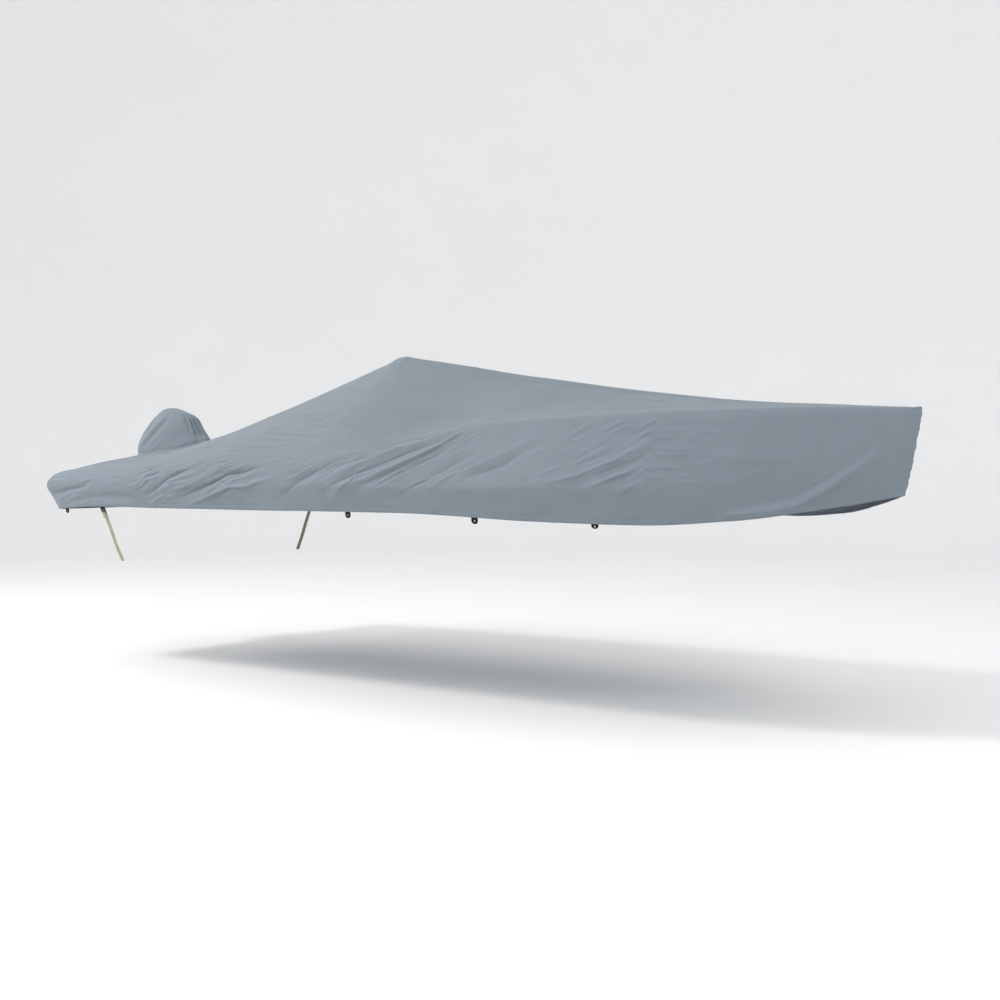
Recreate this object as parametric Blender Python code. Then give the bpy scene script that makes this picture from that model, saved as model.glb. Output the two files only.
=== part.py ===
"""A fitted cover of sewn cloth panels for an open boat of about 6.4 m, with a hood over its outboard motor.

The tables give x forward from the stern edge, y out from the centre line and z above the rub rail, in metres.
The finished part's origin is at the underside of the cloth at the peak, where the cover's pole holds it up.
"""

from collections import Counter, namedtuple
from math import cos, pi, radians, sin

import bmesh
import bpy
import numpy as np
from mathutils import Vector

for startup in list(bpy.data.objects):
    bpy.data.objects.remove(startup)

CLOTH = 0.0024  # thickness of the cloth
SHARP_FROM = radians(70)  # edges that bend more than this are drawn sharp
SEAM_GAP = 0.0004  # between two panels, and between a panel and what is sewn to it
RUN_STEP = 0.084  # between the sections of the solids
FAN_STEP = 0.088  # between those round the stern corner
AHEAD_SECTIONS = 9  # from the hood's front to the first cross seam
BOW_SECTIONS = 18
MITRE_LEAST = 0.5  # the least share of a mitred normal that is kept
RIDGE_ROUND = 0.06  # how far from each corner its rounding starts
RIDGE_FADE = 20.0  # degrees round the hood's edge over which the ridge dies away
SHOULDER_ROUND = 0.13
RAIL_ROUND = 0.05
LEVELS_TOP = 9  # faces from the ridge to the shoulder, closer together toward the shoulder
TOP_CROWDING = 0.5
LEVELS_SIDE = 6  # from the shoulder to the rub rail
LEVELS_SKIRT = 2  # from the rub rail to the hem

HOOD_X = 0.13  # centre of the motor hood
HOOD_LENGTH = 0.74
HOOD_WIDTH = 0.50
HOOD_FRONT = HOOD_X + HOOD_LENGTH / 2

# One row for each section of the starboard half, from the cut-out behind the motor round the stern corner and
# along the side to the stem. angle: where it leaves the hood's edge, 0 at its front and along the ridge.
# hollow: how deep the cloth sags between the ridge and the shoulder.
Section = namedtuple("Section", "name angle top_x top_z shoulder rail hem hollow")
SECTION_ROWS = (
    ("slot", 112, 0.50, 0.227, (-0.07, 0.262, 0.225), (-0.10, 0.262, 0.0), (-0.04, 0.262, -0.195), 0.0),
    ("stern", 95, 0.50, 0.234, (-0.07, 0.65, 0.165), (-0.10, 0.66, 0.0), (-0.04, 0.64, -0.2), 0.008),
    ("turn_aft", 75, 0.50, 0.248, (-0.055, 0.985, 0.105), (-0.105, 1.035, 0.0), (-0.025, 0.975, -0.2), 0.012),
    ("turn", 60, 0.50, 0.26, (0.0, 1.07, 0.095), (-0.07, 1.135, 0.0), (0.01, 1.06, -0.198), 0.015),
    ("turn_side", 45, 0.50, 0.276, (0.13, 1.09, 0.098), (0.11, 1.15, 0.0), (0.135, 1.12, -0.19), 0.018),
    ("by_motor", 25, 0.50, 0.305, (0.33, 1.10, 0.10), (0.33, 1.16, 0.0), (0.33, 1.135, -0.178), 0.02),
    ("hood_front", 0, 0.50, 0.335, (0.50, 1.105, 0.105), (0.50, 1.165, 0.0), (0.50, 1.14, -0.17), 0.02),
    ("aft_deck", 0, 0.85, 0.413, (0.85, 1.115, 0.12), (0.85, 1.17, 0.0), (0.85, 1.145, -0.168), 0.02),
    ("seam_stern", 0, 1.24, 0.52, (1.24, 1.125, 0.14), (1.24, 1.175, 0.0), (1.24, 1.15, -0.168), 0.02),
    ("seam_quarter", 0, 1.93, 0.718, (1.93, 1.145, 0.18), (1.93, 1.185, 0.0), (1.93, 1.16, -0.167), 0.02),
    ("before_peak", 0, 2.46, 0.88, (2.62, 1.155, 0.175), (2.64, 1.19, 0.0), (2.64, 1.165, -0.164), 0.015),
    ("seam_peak", 0, 2.63, 0.93, (2.87, 1.155, 0.18), (2.91, 1.19, 0.0), (2.92, 1.165, -0.162), 0.02),
    ("past_peak", 0, 2.80, 0.902, (2.99, 1.145, 0.185), (3.02, 1.19, 0.0), (3.03, 1.165, -0.162), 0.045),
    ("seam_fore", 0, 3.25, 0.83, (3.20, 1.12, 0.215), (3.17, 1.19, 0.0), (3.17, 1.165, -0.161), 0.075),
    ("drag", 0, 3.62, 0.765, (3.60, 1.04, 0.30), (3.58, 1.195, 0.0), (3.58, 1.17, -0.161), 0.065),
    ("rail_end", 0, 3.96, 0.713, (3.96, 0.95, 0.395), (3.96, 1.195, 0.0), (3.96, 1.17, -0.17), 0.045),
    ("foredeck", 0, 4.60, 0.622, (4.60, 0.925, 0.425), (4.60, 1.14, 0.005), (4.60, 1.11, -0.196), 0.025),
    ("seam_bow", 0, 5.22, 0.548, (5.25, 0.86, 0.448), (5.20, 1.02, 0.01), (5.20, 0.995, -0.204), 0.015),
    ("flare", 0, 5.66, 0.512, (5.70, 0.70, 0.458), (5.66, 0.80, 0.02), (5.62, 0.775, -0.178), 0.01),
    ("bow", 0, 5.95, 0.496, (6.00, 0.49, 0.464), (5.94, 0.56, 0.045), (5.88, 0.53, -0.14), 0.006),
    ("bow_tip", 0, 6.23, 0.479, (6.28, 0.225, 0.466), (6.21, 0.27, 0.075), (6.14, 0.25, -0.09), 0.003),
    ("stem", 0, 6.42, 0.468, (6.455, 0.0, 0.466), (6.385, 0.0, 0.1), (6.35, 0.0, -0.038), 0.0),
)
SECTIONS = tuple(Section(*row) for row in SECTION_ROWS)
PEAK = SECTIONS[[s.name for s in SECTIONS].index("seam_peak")]

# Creases of the starboard side. line: (run, climb) points, with run along the rub rail (forward of the hood
# it is x) and climb up the cloth from the rail. width: of the crease. height: of its crest, or below 0 of its
# trough.
Fold = namedtuple("Fold", "line width height")
FOLDS = (
    Fold(((3.92, 0.46), (3.74, 0.44), (3.42, 0.43), (3.20, 0.28), (3.04, 0.17), (2.92, 0.07)), 0.050, -0.020),
    Fold(((3.84, 0.40), (3.60, 0.34), (3.36, 0.24), (3.12, 0.13), (2.88, 0.02)), 0.050, 0.015),
    Fold(((3.80, 0.35), (3.60, 0.27), (3.38, 0.17), (3.12, 0.06)), 0.042, -0.013),
    Fold(((3.92, 0.43), (3.80, 0.32), (3.64, 0.22), (3.38, 0.11), (3.10, -0.02)), 0.045, 0.018),
    Fold(((3.88, 0.33), (3.74, 0.21), (3.58, 0.12), (3.36, 0.03), (3.20, -0.05)), 0.045, -0.013),
    Fold(((3.26, 0.12), (3.13, 0.03), (2.97, -0.08)), 0.042, 0.012),
    Fold(((3.10, 0.20), (2.93, 0.13), (2.70, 0.03), (2.50, -0.10)), 0.060, -0.012),
    Fold(((3.96, 0.19), (3.81, 0.08), (3.66, 0.0), (3.50, -0.08)), 0.045, -0.018),
    Fold(((4.03, 0.14), (3.91, 0.06), (3.78, -0.03)), 0.042, 0.012),
    Fold(((4.48, 0.34), (4.25, 0.22), (4.08, 0.16)), 0.060, 0.010),
    Fold(((4.45, 0.28), (4.30, 0.16), (4.14, 0.10), (4.0, 0.07)), 0.055, -0.014),
    Fold(((5.20, 0.30), (5.01, 0.16), (4.80, 0.07), (4.59, 0.02)), 0.055, 0.014),
    Fold(((5.19, 0.21), (5.03, 0.10), (4.77, 0.01)), 0.045, -0.012),
    Fold(((5.17, 0.11), (4.91, 0.01)), 0.045, 0.010),
    Fold(((6.50, 0.26), (6.30, 0.14), (6.08, 0.02), (5.85, -0.06)), 0.085, 0.014),
    Fold(((6.55, 0.17), (6.37, 0.06), (6.20, -0.03), (6.02, -0.12), (5.72, -0.19)), 0.070, -0.024),
    Fold(((2.20, 0.15), (2.0, 0.14), (1.80, 0.06), (1.60, -0.01)), 0.045, 0.012),
    Fold(((2.35, 0.14), (2.15, 0.085), (2.0, 0.075), (1.83, 0), (1.62, -0.07), (1.50, -0.10)), 0.045, -0.016),
    Fold(((2.48, 0.06), (2.20, 0.0), (2.03, -0.02), (1.80, -0.09), (1.58, -0.15)), 0.045, 0.014),
    Fold(((1.70, 0.15), (1.50, 0.09), (1.36, 0.03), (1.26, -0.04), (1.12, -0.09)), 0.042, -0.012),
    Fold(((0.53, 0.06), (0.42, -0.02), (0.20, -0.06), (-0.02, -0.09)), 0.045, -0.014),
    Fold(((0.15, -0.14), (0.60, -0.10), (1.05, -0.10)), 0.035, -0.009),
)
PORT_SHIFT = 0.07  # the port side has the same creases a little further forward, and softer
PORT_SOFTER = 0.8

COVER_COLOUR = (0.24, 0.275, 0.30)
TAB_COLOUR = (0.008, 0.008, 0.009)
STRAP_COLOUR = (0.42, 0.40, 0.29)
BUCKLE_COLOUR = (0.012, 0.012, 0.013)


def fabric(name, colour, roughness):
    material = bpy.data.materials.new(name)
    material.use_nodes = True
    shader = material.node_tree.nodes["Principled BSDF"]
    shader.inputs["Base Color"].default_value = (*colour, 1.0)
    shader.inputs["Roughness"].default_value = roughness
    shader.inputs["Metallic"].default_value = 0.0
    return material


# ---------------------------------------------------------------- the cloth's surface


def smooth_through(knots, values, at):
    """A curve through the values that never overshoots them (monotone cubic), for each column."""
    width = np.diff(knots)[:, None]
    slope = np.diff(values, axis=0) / width
    before, after = slope[:-1], slope[1:]
    same_way = before * after > 0
    a, b = 2 * width[1:] + width[:-1], width[1:] + 2 * width[:-1]
    parts = a / np.where(same_way, before, 1) + b / np.where(same_way, after, 1)
    mean = (a + b) / np.where(same_way, parts, 1)
    tangent = np.vstack([slope[:1], np.where(same_way, mean, 0.0), slope[-1:]])
    i = np.clip(np.searchsorted(knots, at) - 1, 0, len(knots) - 2)
    t = ((at - knots[i]) / (knots[i + 1] - knots[i]))[:, None]
    h = (knots[i + 1] - knots[i])[:, None]
    return (
        values[i] * (1 + 2 * t) * (1 - t) ** 2
        + tangent[i] * h * t * (1 - t) ** 2
        + values[i + 1] * t * t * (3 - 2 * t)
        + tangent[i + 1] * h * t * t * (t - 1)
    )


def section_rows():
    rows = [(s.angle, s.top_x, s.top_z, *s.shoulder, *s.rail, *s.hem, s.hollow) for s in SECTIONS]
    return np.array(rows, float)


def section_runs():
    """How far along the rub rail each section lies, with run equal to x at the hood's front."""
    rail = section_rows()[:, 6:9]
    along = np.concatenate([[0], np.cumsum(np.linalg.norm(np.diff(rail, axis=0), axis=1))])
    names = [s.name for s in SECTIONS]
    return along - along[names.index("hood_front")] + HOOD_FRONT


RUNS = section_runs()
RUN_OF = {s.name: run for s, run in zip(SECTIONS, RUNS)}


def section_tops(runs):
    """The angle, x and height of each section's top. The tops turn a corner at the hood's front."""
    front = [s.name for s in SECTIONS].index("hood_front")
    fan = smooth_through(RUNS[: front + 1], section_rows()[: front + 1, :3], runs)
    ridge = smooth_through(RUNS[front:], section_rows()[front:, :3], runs)
    return np.where((runs < RUNS[front])[:, None], fan, ridge)


def corners(runs):
    """The top, shoulder, rail and hem points of the sections at these runs, how deep each sags, and how much
    of a ridge each has: 1 along the centre line, fading to 0 round the hood's edge."""
    runs = np.clip(runs, RUNS[0], RUNS[-1])
    rows = smooth_through(RUNS, section_rows(), runs)
    rows[:, :3] = section_tops(runs)
    angle = np.radians(rows[:, 0])
    reach = HOOD_LENGTH / 2 + SEAM_GAP
    top = np.stack(
        [
            rows[:, 1] - HOOD_LENGTH / 2 + reach * np.cos(angle),
            (HOOD_WIDTH / 2 + SEAM_GAP) * np.sin(angle),
            rows[:, 2],
        ],
        axis=1,
    )
    ridge = np.clip(1 - rows[:, 0] / RIDGE_FADE, 0, 1)
    return top, rows[:, 3:6], rows[:, 6:9], rows[:, 9:12], rows[:, 12], ridge


def along(start, end, t):
    return start[:, None] + (end - start)[:, None] * t[None, :, None]


def rounded(before, corner, after, t):
    """The quadratic curve that rounds a corner."""
    t = t[None, :, None]
    return before[:, None] * (1 - t) ** 2 + corner[:, None] * 2 * t * (1 - t) + after[:, None] * t * t


def toward(start, end, distance, share):
    """A point this far from start, but never past this share of the way to end."""
    span = np.linalg.norm(end - start, axis=1)
    part = np.minimum(distance / np.maximum(span, 1e-9), share)
    return start + (end - start) * part[:, None]


def spaced(points, count, crowding=0.0):
    """Points along each section's curve, closer toward its end, and how long the curve is up to each."""
    share = np.linspace(0, 1, count + 1)
    share = (1 - crowding) * share + crowding * (1 - (1 - share) ** 2)
    steps = np.linalg.norm(np.diff(points, axis=1), axis=2)
    length = np.concatenate([np.zeros((len(points), 1)), np.cumsum(steps, axis=1)], axis=1)
    placed = np.empty((len(points), count + 1, 3))
    at = np.empty((len(points), count + 1))
    for k, (line, reach) in enumerate(zip(points, length)):
        at[k] = reach[-1] * share
        for axis in range(3):
            placed[k, :, axis] = np.interp(at[k], reach, line[:, axis])
    return placed, at


def smooth_sections(runs, counts):
    """The cloth without its creases: points (section, level, xyz) from top to hem, and each point's climb."""
    top, shoulder, rail, hem, hollow, ridge = corners(np.asarray(runs, float))
    fine = np.linspace(0, 1, 9)
    half = fine / 2
    # A rounded ridge lies lower than its corner, so the corner is raised to keep the height in the table.
    span = np.linalg.norm(shoulder - top, axis=1)
    cut = 0.5 * ridge * RIDGE_ROUND / np.maximum(span, 2.5 * RIDGE_ROUND)
    peak = top.copy()
    peak[:, 2] = (top[:, 2] - cut * shoulder[:, 2]) / (1 - cut)
    ridge_out = toward(peak, shoulder, RIDGE_ROUND, 0.4)
    ridge_mid = peak + (ridge_out - peak) * ((1 - ridge) / 2)[:, None]
    ridge_in = peak + (ridge_out * (1, -1, 1) - peak) * ridge[:, None]
    above = toward(shoulder, top, SHOULDER_ROUND, 0.45)
    below = toward(shoulder, rail, SHOULDER_ROUND, 0.45)
    before = toward(rail, shoulder, RAIL_ROUND, 0.45)
    after = toward(rail, hem, RAIL_ROUND, 0.45)

    start = 0.5 * ridge[:, None, None]
    t = start + (1 - start) * fine[None, :, None]
    first = ridge_in[:, None] * (1 - t) ** 2 + ridge_mid[:, None] * 2 * t * (1 - t)
    first = first + ridge_out[:, None] * t * t
    slope = np.concatenate(
        [
            first,
            along(ridge_out, above, np.linspace(0, 1, 24))[:, 1:],
            rounded(above, shoulder, below, half)[:, 1:],
        ],
        axis=1,
    )
    share = np.linspace(0, 1, slope.shape[1])
    slope += (top - slope[:, 0])[:, None] * (1 - share[None, :, None]) ** 4
    slope[:, :, 2] -= hollow[:, None] * np.sin(pi * share) ** 1.2
    side = np.concatenate(
        [
            rounded(above, shoulder, below, 0.5 + half),
            along(below, before, fine)[:, 1:],
            rounded(before, rail, after, half)[:, 1:],
        ],
        axis=1,
    )
    skirt = np.concatenate([rounded(before, rail, after, 0.5 + half), along(after, hem, fine)[:, 1:]], axis=1)

    slope, slope_at = spaced(slope, counts[0], TOP_CROWDING)
    side, side_at = spaced(side, counts[1])
    skirt, skirt_at = spaced(skirt, counts[2])
    points = np.concatenate([slope, side[:, 1:], skirt[:, 1:]], axis=1)
    side_height = side_at[:, -1:]
    climb = np.concatenate(
        [side_height + slope_at[:, -1:] - slope_at, side_height - side_at[:, 1:], -skirt_at[:, 1:]], axis=1
    )
    return points, climb


def crease_height(run, climb, folds):
    """How far the creases lift the cloth at each point. Each crease dies away toward its ends."""
    lift = np.zeros_like(climb)
    for fold in folds:
        line = np.array(fold.line)
        lengths = np.linalg.norm(np.diff(line, axis=0), axis=1)
        nearest = np.full_like(climb, np.inf)
        way = np.zeros_like(climb)
        passed = 0.0
        for start, end, length in zip(line, line[1:], lengths):
            ahead = (end - start) / length
            part = np.clip((run - start[0]) * ahead[0] + (climb - start[1]) * ahead[1], 0, length)
            off = np.hypot(run - start[0] - part * ahead[0], climb - start[1] - part * ahead[1])
            way = np.where(off < nearest, passed + part, way)
            nearest = np.minimum(off, nearest)
            passed += length
        fade = 0.35 + 0.65 * np.sin(pi * (0.15 + 0.7 * way / passed))
        lift += fold.height * fade * np.exp(-((nearest / fold.width) ** 2))
    return lift


def facing(points_ahead, points_behind, points):
    """Unit normals that point out of the cover, from the way along the run and the way down the section."""
    along_run = points_ahead - points_behind
    down = np.gradient(points, axis=1)
    normal = np.cross(along_run, down)
    return normal / np.maximum(np.linalg.norm(normal, axis=2, keepdims=True), 1e-12)


RUN_NUDGE = 0.004


def creased_sections(runs, counts, folds):
    runs = np.asarray(runs, float)
    points, climb = smooth_sections(runs, counts)
    ahead, _ = smooth_sections(runs + RUN_NUDGE, counts)
    behind, _ = smooth_sections(runs - RUN_NUDGE, counts)
    lift = crease_height(np.repeat(runs[:, None], climb.shape[1], axis=1), climb, folds)
    return points + facing(ahead, behind, points) * lift[:, :, None]


def half_cloth(runs, counts, folds):
    """Outer points and outward normals of one half of the cover, with y positive."""
    runs = np.asarray(runs, float)
    points = creased_sections(runs, counts, folds)
    ahead = creased_sections(runs + RUN_NUDGE, counts, folds)
    behind = creased_sections(runs - RUN_NUDGE, counts, folds)
    return points, facing(ahead, behind, points)


def split_run(start, end, step=RUN_STEP):
    count = max(2, round((end - start) / step))
    return np.linspace(start + SEAM_GAP / 2, end - SEAM_GAP / 2, count + 1)


# ---------------------------------------------------------------- solids from surfaces


def add_object(name, mesh, material):
    mesh.materials.append(material)
    mesh.shade_smooth()
    mesh.set_sharp_from_angle(angle=SHARP_FROM)
    part = bpy.data.objects.new(name, mesh)
    bpy.context.scene.collection.objects.link(part)
    return part


def sheet(name, outer, normals, faces, material, thickness=CLOTH):
    """A closed sheet: the faces on the outer points, the same on the inner ones, and walls round the edges."""
    bm = bmesh.new()
    out = [bm.verts.new(p) for p in outer]
    back = [bm.verts.new(p) for p in outer - normals * thickness]
    uses = Counter(frozenset(edge) for face in faces for edge in zip(face, face[1:] + face[:1]))
    for face in faces:
        bm.faces.new([out[i] for i in face])
        bm.faces.new([back[i] for i in reversed(face)])
        for i, j in zip(face, face[1:] + face[:1]):
            if uses[frozenset((i, j))] == 1:
                bm.faces.new((out[j], out[i], back[i], back[j]))
    bmesh.ops.recalc_face_normals(bm, faces=bm.faces)
    mesh = bpy.data.meshes.new(name)
    bm.to_mesh(mesh)
    bm.free()
    return add_object(name, mesh, material)


def grid_faces(numbers, ridge=0):
    """The triangles of a grid of point numbers, split along the way the creases run on each side of the
    ridge. Both faces of the sheet use the same split, so a twisted patch of cloth keeps its thickness."""
    rows, columns = numbers.shape
    faces = []
    for i in range(rows - 1):
        for j in range(columns - 1):
            a, b, c, d = numbers[i, j], numbers[i, j + 1], numbers[i + 1, j + 1], numbers[i + 1, j]
            faces += [(a, b, c), (a, c, d)] if j < ridge else [(a, b, d), (b, c, d)]
    return faces


COUNTS = (LEVELS_TOP, LEVELS_SIDE, LEVELS_SKIRT)
STARBOARD = np.array((1.0, -1.0, 1.0))


def port_folds():
    """The port side's creases."""
    folds = []
    for fold in FOLDS:
        line = tuple((run + PORT_SHIFT, climb) for run, climb in fold.line)
        folds.append(Fold(line, fold.width, PORT_SOFTER * fold.height))
    return tuple(folds)


def whole_sections(runs):
    """Outer points and normals of whole sections, from the port hem over the ridge to the starboard hem."""
    port, port_out = half_cloth(runs, COUNTS, port_folds())
    starboard, starboard_out = half_cloth(runs, COUNTS, FOLDS)
    outer = np.concatenate([port[:, ::-1], (starboard * STARBOARD)[:, 1:]], axis=1)
    normals = np.concatenate([port_out[:, ::-1], (starboard_out * STARBOARD)[:, 1:]], axis=1)
    ridge = normals[:, port.shape[1] - 1]
    ridge[:, 1] = 0
    ridge /= np.linalg.norm(ridge, axis=1, keepdims=True)
    return outer, normals


def cross_panel(name, start, end, material):
    outer, normals = whole_sections(split_run(RUN_OF[start], RUN_OF[end]))
    numbers = np.arange(outer.shape[0] * outer.shape[1]).reshape(outer.shape[:2])
    ridge = outer.shape[1] // 2
    return sheet(name, outer.reshape(-1, 3), normals.reshape(-1, 3), grid_faces(numbers, ridge), material)


def fan_runs():
    """The runs of the sections that leave the hood's edge, from the slot behind it to its front."""
    start, end = RUN_OF["slot"], RUN_OF["hood_front"]
    return np.linspace(start, end, round((end - start) / FAN_STEP) + 1)


def ahead_runs():
    return np.linspace(RUN_OF["hood_front"], RUN_OF["seam_stern"] - SEAM_GAP / 2, AHEAD_SECTIONS)


def stern_panel(material):
    """Whole sections ahead of the hood, and beside it sections that fan out round each stern corner."""
    outer, normals = whole_sections(ahead_runs())
    whole = np.arange(outer.shape[0] * outer.shape[1]).reshape(outer.shape[:2])
    ridge = outer.shape[1] // 2
    points, facings, faces = [outer.reshape(-1, 3)], [normals.reshape(-1, 3)], grid_faces(whole, ridge)
    for side, folds in ((1, port_folds()), (-1, FOLDS)):
        fan, fan_out = half_cloth(fan_runs()[:-1], COUNTS, folds)
        fan_out[:, 0] = (0, 0, 1)
        first = sum(len(p) for p in points)
        points.append((fan * (1, side, 1)).reshape(-1, 3))
        facings.append((fan_out * (1, side, 1)).reshape(-1, 3))
        numbers = first + np.arange(fan.shape[0] * fan.shape[1]).reshape(fan.shape[:2])
        shared = whole[0, ridge::-1] if side == 1 else whole[0, ridge:]
        faces += grid_faces(np.vstack([numbers, shared]))
    return sheet("stern_panel", np.vstack(points), np.vstack(facings), faces, material)


def bow_half(name, side, folds, material):
    """One half of the bow, mitred to the other half along the ridge and down the stem."""
    start, end = RUN_OF["seam_bow"] + SEAM_GAP / 2, RUN_OF["stem"]
    outer, normals = half_cloth(np.linspace(start, end, BOW_SECTIONS + 1), COUNTS, folds)
    normals[-1, 0] = normals[-2, 0]  # the sections end in a point there, with no normal of its own
    for edge in (normals[:, 0], normals[-1]):
        edge[:, 1] = 0
        edge /= np.maximum(np.linalg.norm(edge, axis=1, keepdims=True), MITRE_LEAST) ** 2
    outer[:, :, 1] = np.maximum(outer[:, :, 1], SEAM_GAP / 2)
    outer[:, 0, 1] = outer[-1, :, 1] = SEAM_GAP / 2
    numbers = np.arange(outer.shape[0] * outer.shape[1]).reshape(outer.shape[:2])
    outer, normals = (outer * (1, side, 1)).reshape(-1, 3), (normals * (1, side, 1)).reshape(-1, 3)
    return sheet(name, outer, normals, grid_faces(numbers), material)


# ---------------------------------------------------------------- the motor's hood

# Height above the rail, size as a share of the hood's length and width, and shift along x.
HoodRing = namedtuple("HoodRing", "height share shift")
HOOD_RINGS = (
    HoodRing(0.404, 0.845, 0.002),
    HoodRing(0.445, 0.765, 0.004),
    HoodRing(0.485, 0.680, 0.006),
    HoodRing(0.525, 0.590, 0.010),
    HoodRing(0.558, 0.490, 0.006),
    HoodRing(0.588, 0.350, -0.016),
    HoodRing(0.610, 0.180, -0.036),
)
HOOD_TOP = (HOOD_X - 0.042, 0.0, 0.619)
HOOD_TUCK = 0.018  # how far its edge goes down inside the cut-out
HOOD_UPRIGHT = 0.012  # how far it stands upright above the cut-out
HOOD_HEM = -0.06  # its free hem behind the transom
HEM_TURN = 12  # degrees past the cut-out over which its edge comes down to the hem
AFT_STEPS = 10


def hood_angles():
    """Where the hood's faces meet, matching the panel's edge along the cut-out, then round behind."""
    fan = section_tops(fan_runs())[:, 0]
    behind = np.linspace(fan[0], 360 - fan[0], AFT_STEPS + 1)[1:-1]
    return np.concatenate([fan[::-1], behind, 360 - fan[:-1]])


def motor_hood(material):
    """Rings of cloth from the edge inside the cut-out, or the free hem behind the transom, up to the top."""
    angles = hood_angles()
    _, _, fan_heights = section_tops(fan_runs()).T
    rim = np.interp(np.minimum(angles, 360 - angles), section_tops(fan_runs())[::-1, 0], fan_heights[::-1])
    slot_angle = SECTIONS[0].angle
    behind = np.clip((np.minimum(angles, 360 - angles) - slot_angle) / HEM_TURN, 0, 1)
    turn = np.radians(angles)
    edge_x = HOOD_X + HOOD_LENGTH / 2 * np.cos(turn)
    edge_y = HOOD_WIDTH / 2 * np.sin(turn)
    half_down = (rim + HOOD_HEM) / 2
    rings = [
        np.stack([edge_x, edge_y, (rim - HOOD_TUCK) * (1 - behind) + HOOD_HEM * behind], axis=1),
        np.stack([edge_x, edge_y, (rim - HOOD_TUCK / 2) * (1 - behind) + half_down * behind], axis=1),
        np.stack([edge_x, edge_y, rim + HOOD_UPRIGHT], axis=1),
    ]
    for ring in HOOD_RINGS:
        x = HOOD_X + ring.shift + HOOD_LENGTH / 2 * ring.share * np.cos(turn)
        y = HOOD_WIDTH / 2 * ring.share * np.sin(turn)
        rings.append(np.stack([x, y, np.full(len(turn), ring.height)], axis=1))
    bm = bmesh.new()
    rows = [[bm.verts.new(p) for p in ring] for ring in rings]
    top = bm.verts.new(HOOD_TOP)
    count = len(angles)
    for low, high in zip(rows, rows[1:]):
        for i in range(count):
            bm.faces.new((low[i], low[(i + 1) % count], high[(i + 1) % count], high[i]))
    for i in range(count):
        bm.faces.new((rows[-1][i], rows[-1][(i + 1) % count], top))
    mesh = bpy.data.meshes.new("motor_hood")
    bm.to_mesh(mesh)
    bm.free()
    hood = add_object("motor_hood", mesh, material)
    thick = hood.modifiers.new("cloth", "SOLIDIFY")
    thick.thickness = CLOTH
    thick.offset = -1
    return hood


# ---------------------------------------------------------------- tabs, straps and buckles

TAB_WIDTH = 0.045
TAB_THICK = 0.003
TAB_SEWN = 0.016  # how far it reaches up behind the hem
TAB_GAP = 0.0006  # behind the hem's inner face
TAB_END = 0.8  # how far its rounded end reaches, as a share of half its width
TAB_MARGIN = 0.002  # from its side to the seam between two faces of the hem
EYELET = 0.0095  # across its hole
EYELET_DOWN = 0.52  # where the hole is, as a share of the tab's drop
Tab = namedtuple("Tab", "name run drop")
TABS = (
    Tab("corner", 0.155, 0.040),
    Tab("mid", 3.10, 0.042),
    Tab("fore", 4.12, 0.042),
    Tab("bow", 4.92, 0.028),
)
STRAP_RUN = 0.62
STRAP_WIDTH = 0.038
STRAP_THICK = 0.0018
STRAP_LENGTH = 0.46
STRAP_LAP = 0.045  # its short end, sewn back below the buckle
STRAP_BEND = 0.055  # where its long part comes free of the short end
CARRIER_SEWN = 0.0256  # how far the buckle's webbing reaches up behind the hem
CARRIER_CLEAR = 0.0005  # above the hem's edge, where it bends
CARRIER_END = -0.002  # where it ends behind the buckle
STRAP_LEAN = radians(23.7)  # the way it lies in against the boat's side
BUCKLE_WIDTH, BUCKLE_HEIGHT, BUCKLE_THICK = 0.050, 0.050, 0.006
BUCKLE_BAR = 0.006  # its top and bottom bars
BUCKLE_SLOT = 0.0068
BUCKLE_DROP = 0.006  # below the hem
BUCKLE_PLAY = 0.001  # between the webbing and each side bar
BUCKLE_INSET = 0.003  # its raised plate stands in from the edges
BUCKLE_RAISED = 0.004
WRAP_GAP = 0.0004  # between webbing and the bar that it goes round


def panel_runs(run):
    """The sections of the panel that this place on the hem belongs to."""
    if run < RUN_OF["hood_front"]:
        return fan_runs()
    if run < RUN_OF["seam_stern"]:
        return ahead_runs()
    seams = ("seam_stern", "seam_quarter", "seam_peak", "seam_fore", "seam_bow")
    for start, end in zip(seams, seams[1:]):
        if run < RUN_OF[end]:
            return split_run(RUN_OF[start], RUN_OF[end])
    raise ValueError("no panel with a tab there")


def hem_frame(run, width, side):
    """A place on the hem's back, on a face of the solid: its middle, the way forward, up and outward."""
    runs = panel_runs(run)
    k = int(np.clip(np.searchsorted(runs, run) - 1, 0, len(runs) - 2))
    points, out = half_cloth(runs[k : k + 2], COUNTS, FOLDS if side < 0 else port_folds())
    inner = (points - out * CLOTH) * (1, side, 1)
    (high_a, low_a), (high_b, low_b) = inner[0, -2:], inner[1, -2:]
    across = low_b - low_a
    reach = np.linalg.norm(across)
    room = max(0.5 - (width / 2 + TAB_MARGIN) / reach, 0)
    share = np.clip((run - runs[k]) / (runs[k + 1] - runs[k]), 0.5 - room, 0.5 + room)
    forward = across / reach
    up = high_a + high_b - low_a - low_b
    up -= forward * (up @ forward)
    up /= np.linalg.norm(up)
    outward = np.cross(up, forward) * side
    return low_a + across * share, forward, up, outward


def plate(name, outline, hole, thickness, frame, back, material):
    """A flat plate with one round hole, its outline in the frame's forward and up directions."""
    middle, forward, up, outward = frame
    centre, radius = hole
    outline = np.array(outline)
    arms = outline - centre
    rim = centre + arms / np.linalg.norm(arms, axis=1, keepdims=True) * radius
    flat = np.vstack([outline, rim])
    place = middle - outward * back
    outer = place + flat[:, :1] * forward + flat[:, 1:] * up
    count = len(outline)
    faces = [(i, (i + 1) % count, count + (i + 1) % count, count + i) for i in range(count)]
    return sheet(name, outer, np.tile(outward, (len(outer), 1)), faces, material, thickness)


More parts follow.
